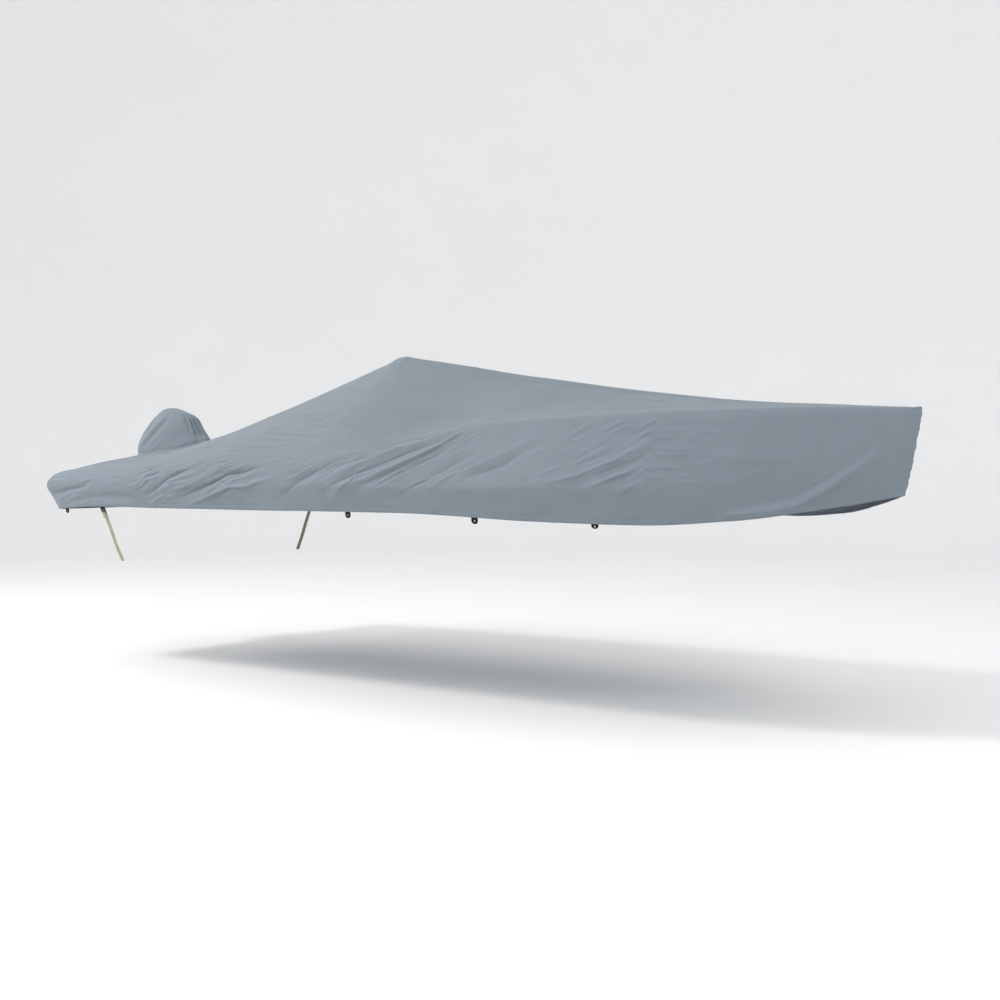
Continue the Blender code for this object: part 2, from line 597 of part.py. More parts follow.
def tie_tab(tab, side, material):
    """A tab with an eyelet, sewn behind the hem and hanging below it."""
    half = TAB_WIDTH / 2
    end = half * TAB_END
    straight = tab.drop - end
    outline = [(-half, TAB_SEWN), (0, TAB_SEWN), (half, TAB_SEWN), (half, 0), (half, -straight)]
    for turn in np.linspace(0, pi, 9)[1:-1]:
        outline.append((half * cos(turn), -straight - end * sin(turn)))
    outline += [(-half, -straight), (-half, 0)]
    hole = (np.array((0.0, -tab.drop * EYELET_DOWN)), EYELET / 2)
    frame = hem_frame(tab.run, TAB_WIDTH, side)
    name = f"tie_tab_{tab.name}_{'port' if side > 0 else 'starboard'}"
    return plate(name, outline, hole, TAB_THICK, frame, TAB_GAP, material)


def band(name, path, width, thickness, x_middle, side, material):
    """Webbing with this side view, a path of (y, z) points, as wide as given along x."""
    path = np.array(path)
    ahead = np.diff(path, axis=0)
    ahead /= np.linalg.norm(ahead, axis=1, keepdims=True)
    left = np.stack([-ahead[:, 1], ahead[:, 0]], axis=1)
    joint = np.vstack([left[:1], left[:-1] + left[1:], left[-1:]])
    joint /= np.maximum(np.einsum("ij,ij->i", joint, np.vstack([left[:1], left])), 0.3)[:, None]
    side_view = np.vstack([path + joint * thickness / 2, (path - joint * thickness / 2)[::-1]])
    bm = bmesh.new()
    ends = []
    for x in (-width / 2, width / 2):
        ends.append([bm.verts.new((x_middle + x, side * y, z)) for y, z in side_view])
    count = len(side_view)
    for i in range(count):
        j = (i + 1) % count
        bm.faces.new((ends[0][i], ends[0][j], ends[1][j], ends[1][i]))
    for i in range(len(path) - 1):
        j = count - 1 - i
        for end in ends:
            bm.faces.new((end[i], end[i + 1], end[j - 1], end[j]))
    bmesh.ops.recalc_face_normals(bm, faces=bm.faces)
    mesh = bpy.data.meshes.new(name)
    bm.to_mesh(mesh)
    bm.free()
    return add_object(name, mesh, material)


def strap_set(side, webbing, plastic, tab_webbing):
    """The buckle under the hem, the short webbing that carries it and the long strap below it."""
    where = "port" if side > 0 else "starboard"
    middle, _, up, _ = hem_frame(STRAP_RUN, STRAP_WIDTH, side)
    x, hem = middle[0], np.array((side * middle[1], middle[2]))
    skirt_up = np.array((side * up[1], up[2])) / np.hypot(up[1], up[2])
    skirt_out = np.array((skirt_up[1], -skirt_up[0]))
    down = np.array((-sin(STRAP_LEAN), -cos(STRAP_LEAN)))
    out = np.array((cos(STRAP_LEAN), -sin(STRAP_LEAN)))

    wrap = BUCKLE_THICK / 2 + WRAP_GAP + STRAP_THICK / 2
    front = hem - skirt_out * (TAB_GAP + STRAP_THICK / 2)
    centre = front - out * wrap  # in the buckle's middle plane

    def at(below, outward):
        return tuple(centre + down * below + out * outward)

    def turn(below, start, end):
        steps = np.linspace(radians(start), radians(end), 9)
        return [at(below + wrap * sin(a), wrap * cos(a)) for a in steps]

    low_bar = BUCKLE_DROP + BUCKLE_HEIGHT - BUCKLE_BAR
    top_bar = BUCKLE_DROP + BUCKLE_BAR
    carrier = [tuple(front + skirt_up * CARRIER_SEWN), tuple(front + skirt_up * CARRIER_CLEAR)]
    carrier += [*turn(top_bar, 0, 180), at(CARRIER_END, -wrap)]
    band(f"strap_tab_{where}", carrier, STRAP_WIDTH, STRAP_THICK, x, side, tab_webbing)
    strap = [at(low_bar + STRAP_LAP, wrap), *turn(low_bar, 0, -180)]
    strap += [at(low_bar + STRAP_BEND, -wrap), at(STRAP_LENGTH, -wrap)]
    band(f"strap_webbing_{where}", strap, STRAP_WIDTH, STRAP_THICK, x, side, webbing)
    buckle(f"strap_buckle_{where}", x, at, side, plastic)


def buckle(name, x, at, side, material):
    """A flat frame with a slot at each end for the webbing and a raised plate between them."""
    high, low = BUCKLE_DROP, BUCKLE_DROP + BUCKLE_HEIGHT
    side_bar = (BUCKLE_WIDTH - STRAP_WIDTH) / 2 - BUCKLE_PLAY
    across = (-BUCKLE_WIDTH / 2, -BUCKLE_WIDTH / 2 + side_bar, BUCKLE_WIDTH / 2 - side_bar, BUCKLE_WIDTH / 2)
    top_bar, low_bar = high + BUCKLE_BAR, low - BUCKLE_BAR
    down = (high, top_bar, top_bar + BUCKLE_SLOT, low_bar - BUCKLE_SLOT, low_bar, low)
    numbers = np.arange(len(across) * len(down)).reshape(len(across), len(down))
    slots = ((1, 1), (1, 3))
    faces = [
        (numbers[i, j], numbers[i + 1, j], numbers[i + 1, j + 1], numbers[i, j + 1])
        for i in range(len(across) - 1)
        for j in range(len(down) - 1)
        if (i, j) not in slots
    ]
    outer = []
    for along_x in across:
        for below in down:
            y, z = at(below, BUCKLE_THICK / 2)
            outer.append((x + along_x, side * y, z))
    flat = np.array(at(0, 1)) - np.array(at(0, 0))
    outward = np.array((0, side * flat[0], flat[1]))
    part = sheet(name, np.array(outer), np.tile(outward, (len(outer), 1)), faces, material, BUCKLE_THICK)
    plate_faces = [f for f in part.data.polygons if f.normal @ Vector(outward) > 0.9]
    middle = max(plate_faces, key=lambda f: f.area)
    bm = bmesh.new()
    bm.from_mesh(part.data)
    bm.faces.ensure_lookup_table()
    bmesh.ops.inset_individual(bm, faces=[bm.faces[middle.index]], thickness=BUCKLE_INSET)
    bm.faces.ensure_lookup_table()
    lifted = bm.faces[middle.index]
    bmesh.ops.translate(bm, verts=lifted.verts, vec=Vector(outward) * BUCKLE_RAISED)
    bm.to_mesh(part.data)
    bm.free()
    return part


# ---------------------------------------------------------------- the whole cover

cloth = fabric("cover_cloth", COVER_COLOUR, 0.85)
black_webbing = fabric("black_webbing", TAB_COLOUR, 0.8)
strap_webbing = fabric("strap_webbing", STRAP_COLOUR, 0.85)
buckle_plastic = fabric("buckle_plastic", BUCKLE_COLOUR, 0.45)

stern_panel(cloth)
cross_panel("quarter_panel", "seam_stern", "seam_quarter", cloth)
cross_panel("cockpit_panel", "seam_quarter", "seam_peak", cloth)
cross_panel("peak_panel", "seam_peak", "seam_fore", cloth)
cross_panel("foredeck_panel", "seam_fore", "seam_bow", cloth)
bow_half("bow_panel_starboard", -1, FOLDS, cloth)
bow_half("bow_panel_port", 1, port_folds(), cloth)
motor_hood(cloth)
for side in (-1, 1):
    for tab in TABS:
        tie_tab(tab, side, black_webbing)
    strap_set(side, strap_webbing, buckle_plastic, black_webbing)

for part in bpy.context.scene.objects:
    part.location = (-PEAK.top_x, 0, CLOTH - PEAK.top_z)
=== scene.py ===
"""The looks of the boat cover: its cloth with folds, seams and hems, the motor's hood, the tie tabs and the straps.

The shapes are those of the CAD solids, on a finer grid and with the small creases. A place on the cloth is given by
its run along the rub rail, which forward of the hood is x from the stern edge, and by its climb up the cloth from the
rail. Its girth is how far down the cloth it lies from the ridge or the hood's edge. Lengths are in metres, except in
tables that say otherwise.
"""

from collections import namedtuple
from functools import reduce
from math import cos, pi, radians, sin

import bmesh
import bpy
import numpy as np
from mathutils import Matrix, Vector


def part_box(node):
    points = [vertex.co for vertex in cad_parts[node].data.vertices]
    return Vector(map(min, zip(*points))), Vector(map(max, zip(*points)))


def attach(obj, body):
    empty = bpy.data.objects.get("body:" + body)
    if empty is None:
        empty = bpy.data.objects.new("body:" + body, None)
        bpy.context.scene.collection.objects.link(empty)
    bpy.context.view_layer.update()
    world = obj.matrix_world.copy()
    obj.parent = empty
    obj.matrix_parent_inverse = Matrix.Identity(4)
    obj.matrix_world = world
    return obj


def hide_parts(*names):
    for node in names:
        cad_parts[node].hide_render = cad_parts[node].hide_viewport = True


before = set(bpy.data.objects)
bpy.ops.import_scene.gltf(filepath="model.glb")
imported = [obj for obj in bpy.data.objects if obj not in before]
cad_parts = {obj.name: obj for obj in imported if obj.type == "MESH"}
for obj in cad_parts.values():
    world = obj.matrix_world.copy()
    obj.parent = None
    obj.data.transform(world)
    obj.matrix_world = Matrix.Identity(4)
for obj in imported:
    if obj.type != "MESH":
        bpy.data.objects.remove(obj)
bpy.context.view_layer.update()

CLOTH = 0.0024  # thickness of the solids' cloth
SEAM_GAP = 0.0004  # between two panels
HOOD_X = 0.13
HOOD_LENGTH = 0.74
HOOD_WIDTH = 0.50
HOOD_FRONT = HOOD_X + HOOD_LENGTH / 2

# The cross-sections: the way each faces, in degrees off the bow. Then in millimetres the x and height of its top, its
# shoulder, rail and hem points, and how deep its cloth sags.
SECTIONS = {
    "slot": (112, 500, 227, -70, 262, 225, -100, 262, 0, -40, 262, -195, 0),
    "stern": (95, 500, 234, -70, 650, 165, -100, 660, 0, -40, 640, -200, 8),
    "corner_aft": (75, 500, 248, -55, 985, 105, -105, 1035, 0, -25, 975, -200, 12),
    "corner": (60, 500, 260, 0, 1070, 95, -70, 1135, 0, 10, 1060, -198, 15),
    "corner_side": (45, 500, 276, 130, 1090, 98, 110, 1150, 0, 135, 1120, -190, 18),
    "by_motor": (25, 500, 305, 330, 1100, 100, 330, 1160, 0, 330, 1135, -178, 20),
    "hood_front": (0, 500, 335, 500, 1105, 105, 500, 1165, 0, 500, 1140, -170, 20),
    "aft_deck": (0, 850, 413, 850, 1115, 120, 850, 1170, 0, 850, 1145, -168, 20),
    "seam_stern": (0, 1240, 520, 1240, 1125, 140, 1240, 1175, 0, 1240, 1150, -168, 20),
    "seam_quarter": (0, 1930, 718, 1930, 1145, 180, 1930, 1185, 0, 1930, 1160, -167, 20),
    "before_peak": (0, 2460, 880, 2620, 1155, 175, 2640, 1190, 0, 2640, 1165, -164, 15),
    "seam_peak": (0, 2630, 930, 2870, 1155, 180, 2910, 1190, 0, 2920, 1165, -162, 20),
    "past_peak": (0, 2800, 902, 2990, 1145, 185, 3020, 1190, 0, 3030, 1165, -162, 45),
    "seam_fore": (0, 3250, 830, 3200, 1120, 215, 3170, 1190, 0, 3170, 1165, -161, 75),
    "drag": (0, 3620, 765, 3600, 1040, 300, 3580, 1195, 0, 3580, 1170, -161, 65),
    "rail_end": (0, 3960, 713, 3960, 950, 395, 3960, 1195, 0, 3960, 1170, -170, 45),
    "foredeck": (0, 4600, 622, 4600, 925, 425, 4600, 1140, 5, 4600, 1110, -196, 25),
    "seam_bow": (0, 5220, 548, 5250, 860, 448, 5200, 1020, 10, 5200, 995, -204, 15),
    "flare": (0, 5660, 512, 5700, 700, 458, 5660, 800, 20, 5620, 775, -178, 10),
    "bow": (0, 5950, 496, 6000, 490, 464, 5940, 560, 45, 5880, 530, -140, 6),
    "bow_tip": (0, 6230, 479, 6280, 225, 466, 6210, 270, 75, 6140, 250, -90, 3),
    "stem": (0, 6420, 468, 6455, 0, 466, 6385, 0, 100, 6350, 0, -38, 0),
}
ROWS = np.array(list(SECTIONS.values())) / ([1] + [1000] * 12)
FRONT = list(SECTIONS).index("hood_front")
PEAK = ROWS[list(SECTIONS).index("seam_peak")]
SHIFT = np.array((-PEAK[1], 0.0, CLOTH - PEAK[2]))

Fold = namedtuple("Fold", "line width height lean")


def fold_rows(*rows):
    """Folds from rows: width and height in tenths of a millimetre, lean, then run and climb along it in centimetres.

    A trough has a height below zero. The lean is how much wider the upper flank is than the lower one.
    """
    return tuple(
        Fold(tuple((r / 100, c / 100) for r, c in zip(line[::2], line[1::2])), width / 10000, height / 10000, lean)
        for width, height, lean, *line in rows
    )


FOLDS = fold_rows(
    (500, -200, 1, 392, 46, 374, 44, 342, 43, 320, 28, 304, 17, 292, 7),
    (500, 150, 1, 384, 40, 360, 34, 336, 24, 312, 13, 288, 2),
    (420, -130, 1, 380, 35, 360, 27, 338, 17, 312, 6),
    (450, 180, 1, 392, 43, 380, 32, 364, 22, 338, 11, 310, -2),
    (450, -130, 1, 388, 33, 374, 21, 358, 12, 336, 3, 320, -5),
    (420, 120, 1, 326, 12, 313, 3, 297, -8),
    (600, -120, 1, 310, 20, 293, 13, 270, 3, 250, -10),
    (450, -180, 1, 396, 19, 381, 8, 366, 0, 350, -8),
    (420, 120, 1, 403, 14, 391, 6, 378, -3),
    (600, 100, 1, 448, 34, 425, 22, 408, 16),
    (550, -140, 1, 445, 28, 430, 16, 414, 10, 400, 7),
    (550, 140, 1, 520, 30, 501, 16, 480, 7, 459, 2),
    (450, -120, 1, 519, 21, 503, 10, 477, 1),
    (450, 100, 1, 517, 11, 491, 1),
    (850, 30, 1, 650, 26, 630, 14, 608, 2, 585, -6),
    (620, -20, 1.9, 653, 18, 638, 9, 626, 1, 610, -8, 592, -11.5, 570, -15),
    (340, 700, 0.66, 657, 15, 640, 3.5, 627, -5, 611, -13.5, 593, -16, 568, -17),
    (450, 120, 1, 220, 15, 200, 14, 180, 6, 160, -1),
    (450, -160, 1, 235, 14, 215, 8.5, 200, 7.5, 183, 0, 162, -7, 150, -10),
    (450, 140, 1, 248, 6, 220, 0, 203, -2, 180, -9, 158, -15),
    (420, -120, 1, 170, 15, 150, 9, 136, 3, 126, -4, 112, -9),
    (450, -140, 1, 53, 6, 42, -2, 20, -6, -2, -9),
    (350, -90, 1, 15, -14, 60, -10, 105, -10),
)
# Crisp creases beside and between the main folds, as the photo shows them.
FINE_FOLDS = fold_rows(
    (160, -55, 1, 391, 48, 373, 46, 333, 44, 321, 31, 313, 22),
    (150, -50, 1, 391, 45, 381, 39, 369, 36, 359, 34, 346, 30),
    (140, 50, 1, 373, 38, 351, 29, 335, 25, 320, 18),
    (130, -50, 1, 393, 42, 385, 34, 373, 25, 363, 18, 353, 14, 343, 9, 333, 5, 319, -2),
    (140, 55, 1, 395, 45, 385, 37, 373, 28, 361, 21, 345, 13, 333, 8),
    (110, 65, 1, 389, 14, 381, 8, 369, 3, 353, -6),
    (100, 50, 1, 399, 12, 391, 7, 383, 1),
    (100, 40, 1, 410, 11, 402, 6, 395, 1),
    (240, -40, 1, 443, 26, 431, 15, 417, 11, 401, 7),
    (140, -55, 1, 331, 21, 315, 18, 305, 14, 293, 5),
    (130, -50, 1, 337, 16, 325, 11, 313, 6, 303, 2, 293, 0),
    (120, 55, 1, 328, 17, 319, 10, 315, 3, 299, -6),
    (220, -35, 1, 293, 13, 269, 3, 253, -8),
    (130, 35, 1, 305, 5, 293, -1, 280, -7),
    (150, 60, 1, 459, 2, 481, 7, 501, 16, 520, 30),
    (120, 50, 1, 477, 1, 503, 10, 519, 22),
    (110, 55, 1, 491, 1, 517, 11),
    (100, 55, 1, 505, -4, 519, 3),
    (120, 45, 1, 502, 24, 512, 30, 520, 37),
    (110, 35, 1, 508, 34, 520, 42),
    (90, 45, 1, 506, 20, 513, 22.5, 520, 27),
    (90, 50, 1, 496, 14, 508, 18, 520, 24),
    (100, 55, 1, 480, 3.5, 499, 12.5, 510, 17, 520, 21.5),
    (90, 55, 1, 490, 0, 507, 7.5, 520, 14),
    (80, 45, 1, 507, -5, 517, 1),
    (90, 40, 1, 510, 32, 520, 35.5),
    (90, 35, 1, 512, 39, 520, 41),
    (100, 30, 1, 521, 30.5, 533, 30),
    (100, 35, 1, 521, 19, 530, 19.5, 546, 19),
    (100, 30, 1, 521, 6, 534, 5.5),
    (100, 45, 1, 62, 8, 50, 4, 36, 1),
    (100, -45, 1, 106, 16, 116, 11, 120, 6),
    (100, 45, 1, 210, 19, 198, 16, 184, 10),
    (90, 40, 1, 230, 9, 216, 5, 200, 3),
    (100, 45, 1, 330, 33, 318, 24, 310, 20),
    (100, 45, 1, 352, 40, 336, 36, 326, 32),
    (100, -45, 1, 366, 30, 348, 22, 334, 15),
    (100, 40, 1, 566, -17.5, 586, -15.5, 602, -12),
    (140, 35, 1, 523, 24, 536, 22, 550, 22),
    (120, 35, 1, 523, 12, 534, 12, 544, 11),
    (600, 40, 1, 543, 20, 579, 16, 615, 12),
    (140, -45, 1, 53, 5, 43, -2, 21, -5, -1, -8),
    (130, -55, 1, 167, 14, 151, 9, 139, 5, 133, 0, 115, -8),
    (110, 50, 1, 167, 2, 153, -2, 141, -6, 130, -9),
    (110, -45, 1, 167, -2, 153, -5, 141, -8),
    (140, -60, 1, 233, 13, 217, 9, 203, 8, 185, 1, 167, -5, 155, -9),
    (120, 60, 1, 243, 5, 221, -1, 205, -1, 181, -8, 161, -14),
    (100, 45, 1, 198, 3, 186, -2, 172, -9),
    (120, -45, 1, 128, 10, 120, 5, 114, -1, 104, -6),
    (120, 45, 1, 120, 11, 112, 6, 105, 0, 98, -3),
    (140, -30, 1, 37, -10, 75, -8, 103, -9),
    (140, 30, 1, 61, -14, 99, -14),
)
PORT_SHIFT, PORT_SOFTER = 0.07, 0.8  # the port side's folds lie further forward and are lower
PORT_FINE_SHIFT, PORT_FINE_SOFTER = 0.09, 0.85

# Where small wrinkles lie: spans of run and climb, the slope of the wrinkles in degrees, the span of their lengths,
# how many there are, and their height.
ZONES = (
    ((0.95, 2.30), (-0.12, 0.20), 17, (0.10, 0.34), 34, 0.0030),
    ((-0.30, 0.95), (-0.14, 0.09), 9, (0.12, 0.32), 16, 0.0022),
    ((-1.00, -0.25), (-0.14, 0.10), -8, (0.10, 0.25), 12, 0.0022),
    ((2.40, 3.05), (-0.10, 0.20), 24, (0.12, 0.30), 12, 0.0024),
    ((3.00, 4.15), (-0.03, 0.46), 30, (0.10, 0.36), 30, 0.0030),
    ((4.45, 5.22), (0.00, 0.40), 28, (0.09, 0.26), 20, 0.0030),
    ((5.24, 5.62), (0.00, 0.36), 4, (0.08, 0.22), 12, 0.0016),
    ((5.70, 6.45), (-0.12, 0.22), 24, (0.10, 0.30), 8, 0.0011),
    ((2.94, 3.34), (0.95, 1.38), -28, (0.06, 0.20), 16, 0.0022),
    ((1.30, 2.80), (0.30, 0.70), 12, (0.20, 0.50), 14, 0.0012),
)

# ---------------------------------------------------------------- the cloth's surface


def smooth_through(knots, values, at):
    """A curve through the values that never overshoots them (monotone cubic), for each column."""
    width = np.diff(knots)[:, None]
    slope = np.diff(values, axis=0) / width
    before, after = slope[:-1], slope[1:]
    same_way = before * after > 0
    a, b = 2 * width[1:] + width[:-1], width[1:] + 2 * width[:-1]
    mean = (a + b) / np.where(same_way, a / np.where(same_way, before, 1) + b / np.where(same_way, after, 1), 1)
    tangent = np.vstack([slope[:1], np.where(same_way, mean, 0.0), slope[-1:]])
    i = np.clip(np.searchsorted(knots, at) - 1, 0, len(knots) - 2)
    t = ((at - knots[i]) / (knots[i + 1] - knots[i]))[:, None]
    h = (knots[i + 1] - knots[i])[:, None]
    return (
        values[i] * (1 + 2 * t) * (1 - t) ** 2
        + tangent[i] * h * t * (1 - t) ** 2
        + values[i + 1] * t * t * (3 - 2 * t)
        + tangent[i + 1] * h * t * t * (t - 1)
    )


def reach_along(line):
    """How far along its line each point lies."""
    return np.concatenate([[0], np.cumsum(np.linalg.norm(np.diff(line, axis=0), axis=1))])


def points_at(line, at):
    """The points at these distances along a line."""
    reach = reach_along(line)
    return np.stack([np.interp(at, reach, axis) for axis in line.T], axis=1)


RUNS = reach_along(ROWS[:, 6:9])
RUNS += HOOD_FRONT - RUNS[FRONT]
RUN_OF = dict(zip(SECTIONS, RUNS))


def section_tops(runs):
    """The angle, x and height of each section's top. The tops turn a corner at the hood's front."""
    fan = smooth_through(RUNS[: FRONT + 1], ROWS[: FRONT + 1, :3], runs)
    ridge = smooth_through(RUNS[FRONT:], ROWS[FRONT:, :3], runs)
    return np.where((runs < HOOD_FRONT)[:, None], fan, ridge)


RIDGE_FADE = 20.0  # the ridge is gone in sections that face this many degrees off the bow


def corners(runs):
    """The top, shoulder, rail and hem points of the sections, how deep each sags, and how much of a ridge it has."""
    runs = np.clip(runs, RUNS[0], RUNS[-1])
    rows = smooth_through(RUNS, ROWS, runs)
    rows[:, :3] = section_tops(runs)
    angle = np.radians(rows[:, 0])
    out_x = rows[:, 1] - HOOD_LENGTH / 2 + (HOOD_LENGTH / 2 + SEAM_GAP) * np.cos(angle)
    out_y = (HOOD_WIDTH / 2 + SEAM_GAP) * np.sin(angle)
    top = np.stack([out_x, out_y, rows[:, 2]], axis=1)
    ridge = np.clip(1 - rows[:, 0] / RIDGE_FADE, 0, 1)
    return top, rows[:, 3:6], rows[:, 6:9], rows[:, 9:12], rows[:, 12], ridge


def ease(value):
    value = np.clip(value, 0, 1)
    return value * value * (3 - 2 * value)


def between(value, start, start_span, end, end_span):
    """1 between the start and the end, 0 outside them, with a soft rise and fall inside them over these spans."""
    return ease((value - start) / start_span) * ease((end - value) / end_span)


def along(start, end, t):
    return start[:, None] + (end - start)[:, None] * t[None, :, None]


def rounded(before, corner, after, t):
    """The quadratic curve that rounds a corner."""
    return before * (1 - t) ** 2 + corner * 2 * t * (1 - t) + after * t * t


def toward(start, end, distance, share):
    """A point this far from start, but never past this share of the way to end."""
    span = np.linalg.norm(end - start, axis=1)
    part = np.minimum(distance / np.maximum(span, 1e-9), share)
    return start + (end - start) * part[:, None]


def placed(points, places):
    """Points along each section's curve. places turns the curve's length into distances along it."""
    at = np.array([places(reach_along(line)[-1]) for line in points])
    return np.array([points_at(line, a) for line, a in zip(points, at)]), at


LEVELS_TOP = 84  # faces from the ridge to the shoulder
LEVELS_SIDE = 54  # from there to the rub rail
LEVELS_SKIRT = 15  # from there to the hem's first row
HEM_ROWS = (0.045, 0.037, 0.033, 0.030, 0.026, 0.019, 0.012, 0.006, 0.002, 0.0)  # up from the hem
SMALL_FACE, LARGE_FACE = 0.008, 0.022
# The faces are small down from the ridge and up from the shoulder. Each: how far, and how fast they grow after it.
RIDGE_BAND, CREASE_BAND = (0.08, 0.05), (0.42, 0.15)
FINE_PLACES = 400


def top_places(length):
    """Close together round the ridge and above the shoulder, where the creases are."""
    fine = np.linspace(0, length, FINE_PLACES)
    calm = between(fine, *RIDGE_BAND, length - CREASE_BAND[0], CREASE_BAND[1])
    count = np.cumsum(1 / (SMALL_FACE + (LARGE_FACE - SMALL_FACE) * calm))
    count = (count - count[0]) / (count[-1] - count[0])
    return np.interp(np.linspace(0, 1, LEVELS_TOP + 1), count, fine)


def side_places(length):
    return np.linspace(0, length, LEVELS_SIDE + 1)


def skirt_places(length):
    return np.concatenate([np.linspace(0, length - HEM_ROWS[0], LEVELS_SKIRT + 1)[:-1], length - np.array(HEM_ROWS)])


# How far from each corner its rounding starts, and the most of a side that it takes.
RIDGE_ROUND, RIDGE_SHARE = 0.06, 0.4
SHOULDER_ROUND, SHOULDER_TIGHT = 0.13, 0.08
RAIL_ROUND, RAIL_TIGHT = 0.05, 0.016
ROUND_SHARE = 0.45
TIGHT_RAIL = (1.9, 0.6, 5.6, 0.6)  # amidships the cloth is drawn over the boat's edge in a sharper line
TIGHT_SHOULDER = (3.9, 0.6)  # where the foredeck's crease becomes sharper, and over what run
ROUND_POINTS, SLOPE_POINTS = 17, 48
SAG_SHAPE = 1.2


def smooth_sections(runs):
    """The cloth without its creases: points (section, level, xyz) from the top to the hem, and each point's climb."""
    top, shoulder, rail, hem, hollow, ridge = corners(runs)
    fine = np.linspace(0, 1, ROUND_POINTS)
    half = fine[None, :, None] / 2
    span = np.linalg.norm(shoulder - top, axis=1)
    cut = 0.5 * ridge * RIDGE_ROUND / np.maximum(span, RIDGE_ROUND / RIDGE_SHARE)
    peak = top.copy()
    peak[:, 2] = (top[:, 2] - cut * shoulder[:, 2]) / (1 - cut)
    ridge_out = toward(peak, shoulder, RIDGE_ROUND, RIDGE_SHARE)
    ridge_mid = peak + (ridge_out - peak) * ((1 - ridge) / 2)[:, None]
    ridge_in = peak + (ridge_out * (1, -1, 1) - peak) * ridge[:, None]
    rail_round = RAIL_ROUND + (RAIL_TIGHT - RAIL_ROUND) * between(runs, *TIGHT_RAIL)
    tight = ease((runs - TIGHT_SHOULDER[0]) / TIGHT_SHOULDER[1])
    shoulder_round = SHOULDER_ROUND + (SHOULDER_TIGHT - SHOULDER_ROUND) * tight
    above = toward(shoulder, top, shoulder_round, ROUND_SHARE)
    below = toward(shoulder, rail, shoulder_round, ROUND_SHARE)
    before = toward(rail, shoulder, rail_round, ROUND_SHARE)
    after = toward(rail, hem, rail_round, ROUND_SHARE)
    at_shoulder = above[:, None], shoulder[:, None], below[:, None]
    at_rail = before[:, None], rail[:, None], after[:, None]

    start = 0.5 * ridge[:, None, None]
    first = rounded(ridge_in[:, None], ridge_mid[:, None], ridge_out[:, None], start + (1 - start) * 2 * half)
    straight = along(ridge_out, above, np.linspace(0, 1, SLOPE_POINTS))
    slope = np.concatenate([first, straight[:, 1:], rounded(*at_shoulder, half)[:, 1:]], axis=1)
    share = np.linspace(0, 1, slope.shape[1])
    slope += (top - slope[:, 0])[:, None] * (1 - share[None, :, None]) ** 4
    slope[:, :, 2] -= hollow[:, None] * np.sin(pi * share) ** SAG_SHAPE
    straight = along(below, before, fine)
    side = [rounded(*at_shoulder, 0.5 + half), straight[:, 1:], rounded(*at_rail, half)[:, 1:]]
    skirt = [rounded(*at_rail, 0.5 + half), along(after, hem, fine)[:, 1:]]

    slope, slope_at = placed(slope, top_places)
    side, side_at = placed(np.concatenate(side, axis=1), side_places)
    skirt, skirt_at = placed(np.concatenate(skirt, axis=1), skirt_places)
    points = np.concatenate([slope, side[:, 1:], skirt[:, 1:]], axis=1)
    rail_up = side_at[:, -1:]
    climb = np.concatenate([rail_up + slope_at[:, -1:] - slope_at, rail_up - side_at[:, 1:], -skirt_at[:, 1:]], axis=1)
    return points, climb


SETTLE_STEPS = (-0.18, -0.09, 0.09, 0.18)
SETTLE_REACH = 0.34
SETTLE_FROM, SETTLE_FADE = 0.10, 0.35  # down from the ridge, so the peak keeps its height


def settled_sections(runs):
    """The cloth bends gradually, not in one line, where the aft slope meets the foredeck under the peak."""
    points, climb = smooth_sections(runs)
    near = np.exp(-(((runs - RUN_OF["seam_peak"]) / SETTLE_REACH) ** 4))
    weight = near[:, None] * ease((climb[:, :1] - climb - SETTLE_FROM) / SETTLE_FADE)
    if weight.max() > 0.001:
        others = [smooth_sections(runs + step)[0] for step in SETTLE_STEPS]
        mean = (points + sum(others)) / (len(others) + 1)
        points = points + (mean - points) * weight[..., None]
    return points, climb


def unit(vectors, least=1e-12):
    """The vectors made 1 long. Those shorter than the least length stay shorter than 1."""
    return vectors / np.maximum(np.linalg.norm(vectors, axis=-1, keepdims=True), least)


def facing_up(points):
    """How far up the surface through a grid of points faces."""
    return unit(np.cross(np.gradient(points, axis=0), np.gradient(points, axis=1)))[..., 2]


# ---------------------------------------------------------------- creases, puckers and seams


def rise(share):
    """Up from 0 and down to 0 again, as the share goes from 0 to 1."""
    return np.maximum(np.sin(pi * np.clip(share, 0, 1)), 0)


# Crests that are narrow with wide flanks: how many widths away they still lift the cloth, the width of the crest's
# core, how fast it falls away, and how it tapers to nothing at both ends.
Crest = namedtuple("Crest", "reach core decay taper")
CRISP = Crest(5, 0.25, 0.65, 0.7)
HOOD_CREST = Crest(np.inf, 0.35, 0.7, 0.6)
SOFT_REACH = 3
SOFT_END, SOFT_PART = 0.35, (0.15, 0.7)  # a soft fold's least height, and the part of a sine wave that it follows


